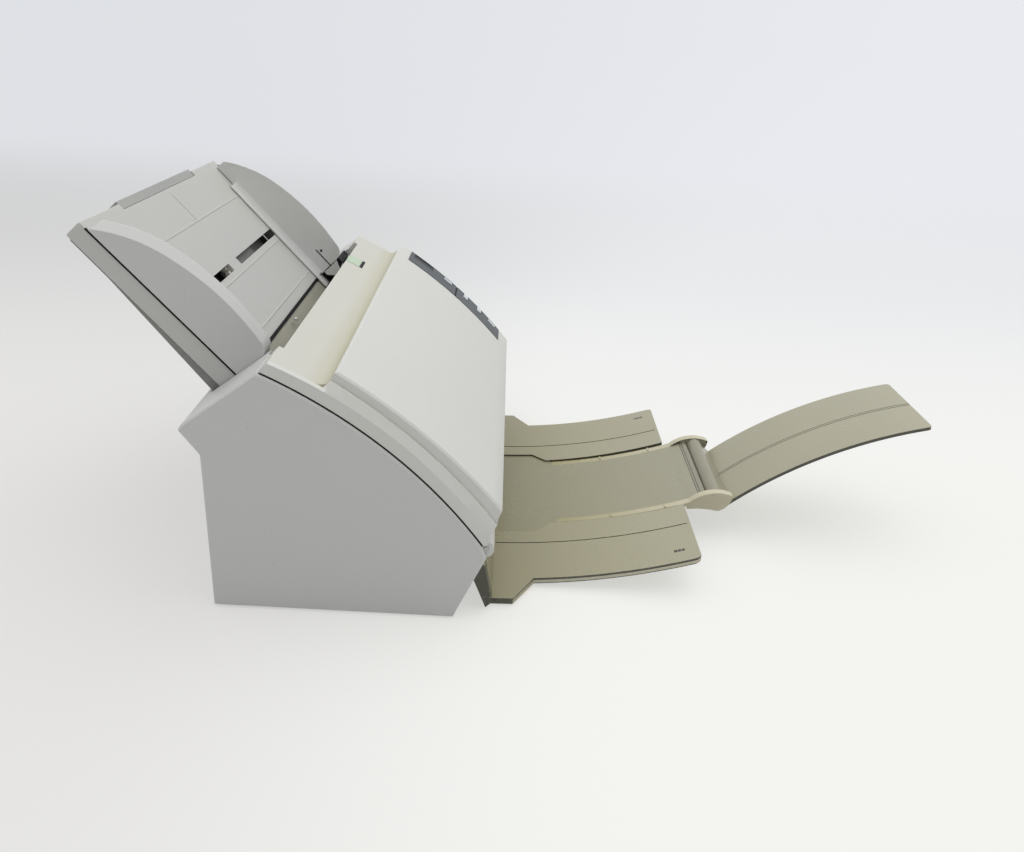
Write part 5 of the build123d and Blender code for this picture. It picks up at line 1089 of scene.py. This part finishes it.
class SCANNER_OT_stage(bpy.types.Operator):
    """Pale table top, soft lamps, sky and the camera"""

    bl_idname = "scanner.stage"
    bl_label = "Stage"

    def execute(self, context):
        stage = context.scene.scanner_stage
        self.add_floor(stage)
        self.add_sky(stage, context.scene)
        self.add_lamps(stage)
        self.add_camera(stage, context.scene)
        context.scene.view_settings.view_transform = "Standard"
        return {"FINISHED"}

    def add_floor(self, stage):
        """Pale floor: the camera sees part of its own colour, and the rest keeps the shadows."""
        mesh = bmesh.new()
        bmesh.ops.create_circle(mesh, cap_ends=True, segments=96, radius=14.0)
        data = bpy.data.meshes.new("floor")
        mesh.to_mesh(data)
        mesh.free()
        material, tree, shader, place = start_material("Table top")
        axes = axes_of(tree, place)
        across = add_range(tree, axes["Y"], -0.16, 0.12)
        near = add_mix(tree, across, (*stage.near_colour, 1), (*stage.side_colour, 1))
        # Painted shade on the left and painted light on the right, farther behind the scanner.
        middle = self.mix_across(tree, axes, stage.lit_floor_colour, stage.shaded_floor_colour)
        wall = self.mix_across(tree, axes, stage.wall_light, stage.wall_colour)
        shown = add_mix(tree, add_range(tree, axes["X"], 0.0, 0.7), near, middle)
        shown = add_mix(tree, add_range(tree, axes["X"], 0.7, 1.7), shown, wall)
        values = {"Base Color": (0.80, 0.80, 0.795, 1), "Roughness": 0.6, "Specular IOR Level": 0.1}
        set_inputs(tree, shader, values)
        glow = add_node(tree, "ShaderNodeEmission", {"Color": shown})
        share = add_range(tree, axes["X"], 0.3, 1.8, 0.62, 1.0)
        values = {
            0: add_math(tree, "MULTIPLY", share, self.seen_rays(tree)),
            1: shader.outputs["BSDF"],
            2: glow["Emission"],
        }
        mixed = add_node(tree, "ShaderNodeMixShader", values)
        set_inputs(tree, tree.nodes["Material Output"], {"Surface": mixed["Shader"]})
        data.materials.append(material)
        floor = bpy.data.objects.new("floor", data)
        bpy.context.scene.collection.objects.link(floor)

    def mix_across(self, tree, axes, right, left):
        """Blend two colours from right to left as seen from the scanner, from the lit right to the painted
        shade on the left.
        """
        side = add_range(tree, add_math(tree, "DIVIDE", axes["Y"], axes["X"]), -0.55, 0.45)
        return add_mix(tree, side, (*right, 1), (*left, 1))

    def seen_rays(self, tree):
        """One for what the camera sees, directly, mirrored or through clear plastic."""
        rays = tree.nodes.new("ShaderNodeLightPath").outputs
        mirrored = add_math(tree, "MAXIMUM", rays["Is Camera Ray"], rays["Is Glossy Ray"])
        return add_math(tree, "MAXIMUM", mirrored, rays["Is Transmission Ray"])

    def add_sky(self, stage, scene):
        """Soft light that is strongest overhead, and the wall's colour where it is seen past the floor."""
        world = bpy.data.worlds.new("Studio")
        scene.world = world
        world.use_nodes = True
        tree = world.node_tree
        axes = axes_of(tree, tree.nodes.new("ShaderNodeTexCoord").outputs["Generated"])
        light = add_range(tree, axes["Z"], 0.0, 1.0, 0.04, 0.98)
        wall = self.mix_across(tree, axes, stage.wall_light, stage.wall_colour)
        seen = self.seen_rays(tree)
        white = (1, 1, 1, 1)
        values = {"Color": add_mix(tree, seen, white, wall), "Strength": add_mix(tree, seen, light, white)}
        set_inputs(tree, tree.nodes["Background"], values)

    def add_lamps(self, stage):
        target = Vector((0, -0.05, 0.08))
        for name, place, size, power in (
            ("overhead", (0.33, -0.75, 1.9), 2.4, stage.lamp_power),
            ("rear_fill", (-0.1, 1.3, 1.7), 2.0, stage.lamp_power * 0.3),
        ):
            lamp = bpy.data.lights.new(name, "AREA")
            lamp.size = size
            lamp.energy = power
            holder = bpy.data.objects.new(name, lamp)
            holder.location = place
            holder.rotation_euler = (target - Vector(place)).to_track_quat("-Z", "Y").to_euler()
            bpy.context.scene.collection.objects.link(holder)

    def add_camera(self, stage, scene):
        """Camera at the photograph's place and angles."""
        pitch, turn, roll = (radians(degrees) for degrees in CAMERA_ANGLES)
        forward = Vector((cos(pitch) * cos(turn), cos(pitch) * sin(turn), -sin(pitch)))
        level = Vector((sin(turn), -cos(turn), 0))
        up = level.cross(forward)
        right = cos(roll) * level + sin(roll) * up
        upright = -sin(roll) * level + cos(roll) * up
        data = bpy.data.cameras.new("photograph")
        data.lens = stage.lens
        data.sensor_width = 36.0
        data.clip_start = 0.02
        data.clip_end = 60.0
        camera = bpy.data.objects.new("photograph", data)
        axes = Matrix((right, upright, -forward)).transposed().to_4x4()
        camera.matrix_world = Matrix.Translation(body_point(*CAMERA_PLACE)) @ axes
        scene.collection.objects.link(camera)
        scene.camera = camera


class SCANNER_PT_sidebar(bpy.types.Panel):
    """Lists the scanner's settings and the buttons that make its pieces"""

    bl_idname = "SCANNER_PT_sidebar"
    bl_label = "Document scanner"
    bl_space_type = "VIEW_3D"
    bl_region_type = "UI"
    bl_category = "Scanner"

    def draw(self, context):
        for name, _ in SETTINGS:
            group = getattr(context.scene, name)
            box = self.layout.box()
            for key in group.bl_rna.properties.keys():
                if key not in ("rna_type", "name"):
                    box.prop(group, key)
        for operator in OPERATORS:
            self.layout.operator(operator.bl_idname)


OPERATORS = (
    SCANNER_OT_housing,
    SCANNER_OT_cover,
    SCANNER_OT_operator_strip,
    SCANNER_OT_chute,
    SCANNER_OT_stacker,
    SCANNER_OT_paper_path,
    SCANNER_OT_stage,
)
SETTINGS = (
    ("scanner_shell", ScannerShellSettings),
    ("scanner_strip", ScannerStripSettings),
    ("scanner_chute", ScannerChuteSettings),
    ("scanner_stacker", ScannerStackerSettings),
    ("scanner_inner", ScannerInnerSettings),
    ("scanner_stage", ScannerStageSettings),
)


def register():
    for name, group in SETTINGS:
        bpy.utils.register_class(group)
        setattr(bpy.types.Scene, name, PointerProperty(type=group))
    for operator in OPERATORS:
        bpy.utils.register_class(operator)
    bpy.utils.register_class(SCANNER_PT_sidebar)


def unregister():
    bpy.utils.unregister_class(SCANNER_PT_sidebar)
    for operator in reversed(OPERATORS):
        bpy.utils.unregister_class(operator)
    for name, group in reversed(SETTINGS):
        delattr(bpy.types.Scene, name)
        bpy.utils.unregister_class(group)


def main():
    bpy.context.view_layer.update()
    register()
    bpy.ops.scanner.housing()
    bpy.ops.scanner.cover()
    bpy.ops.scanner.operator_strip()
    bpy.ops.scanner.chute()
    bpy.ops.scanner.stacker()
    bpy.ops.scanner.paper_path()
    bpy.ops.scanner.stage()


if __name__ == "__main__":
    main()
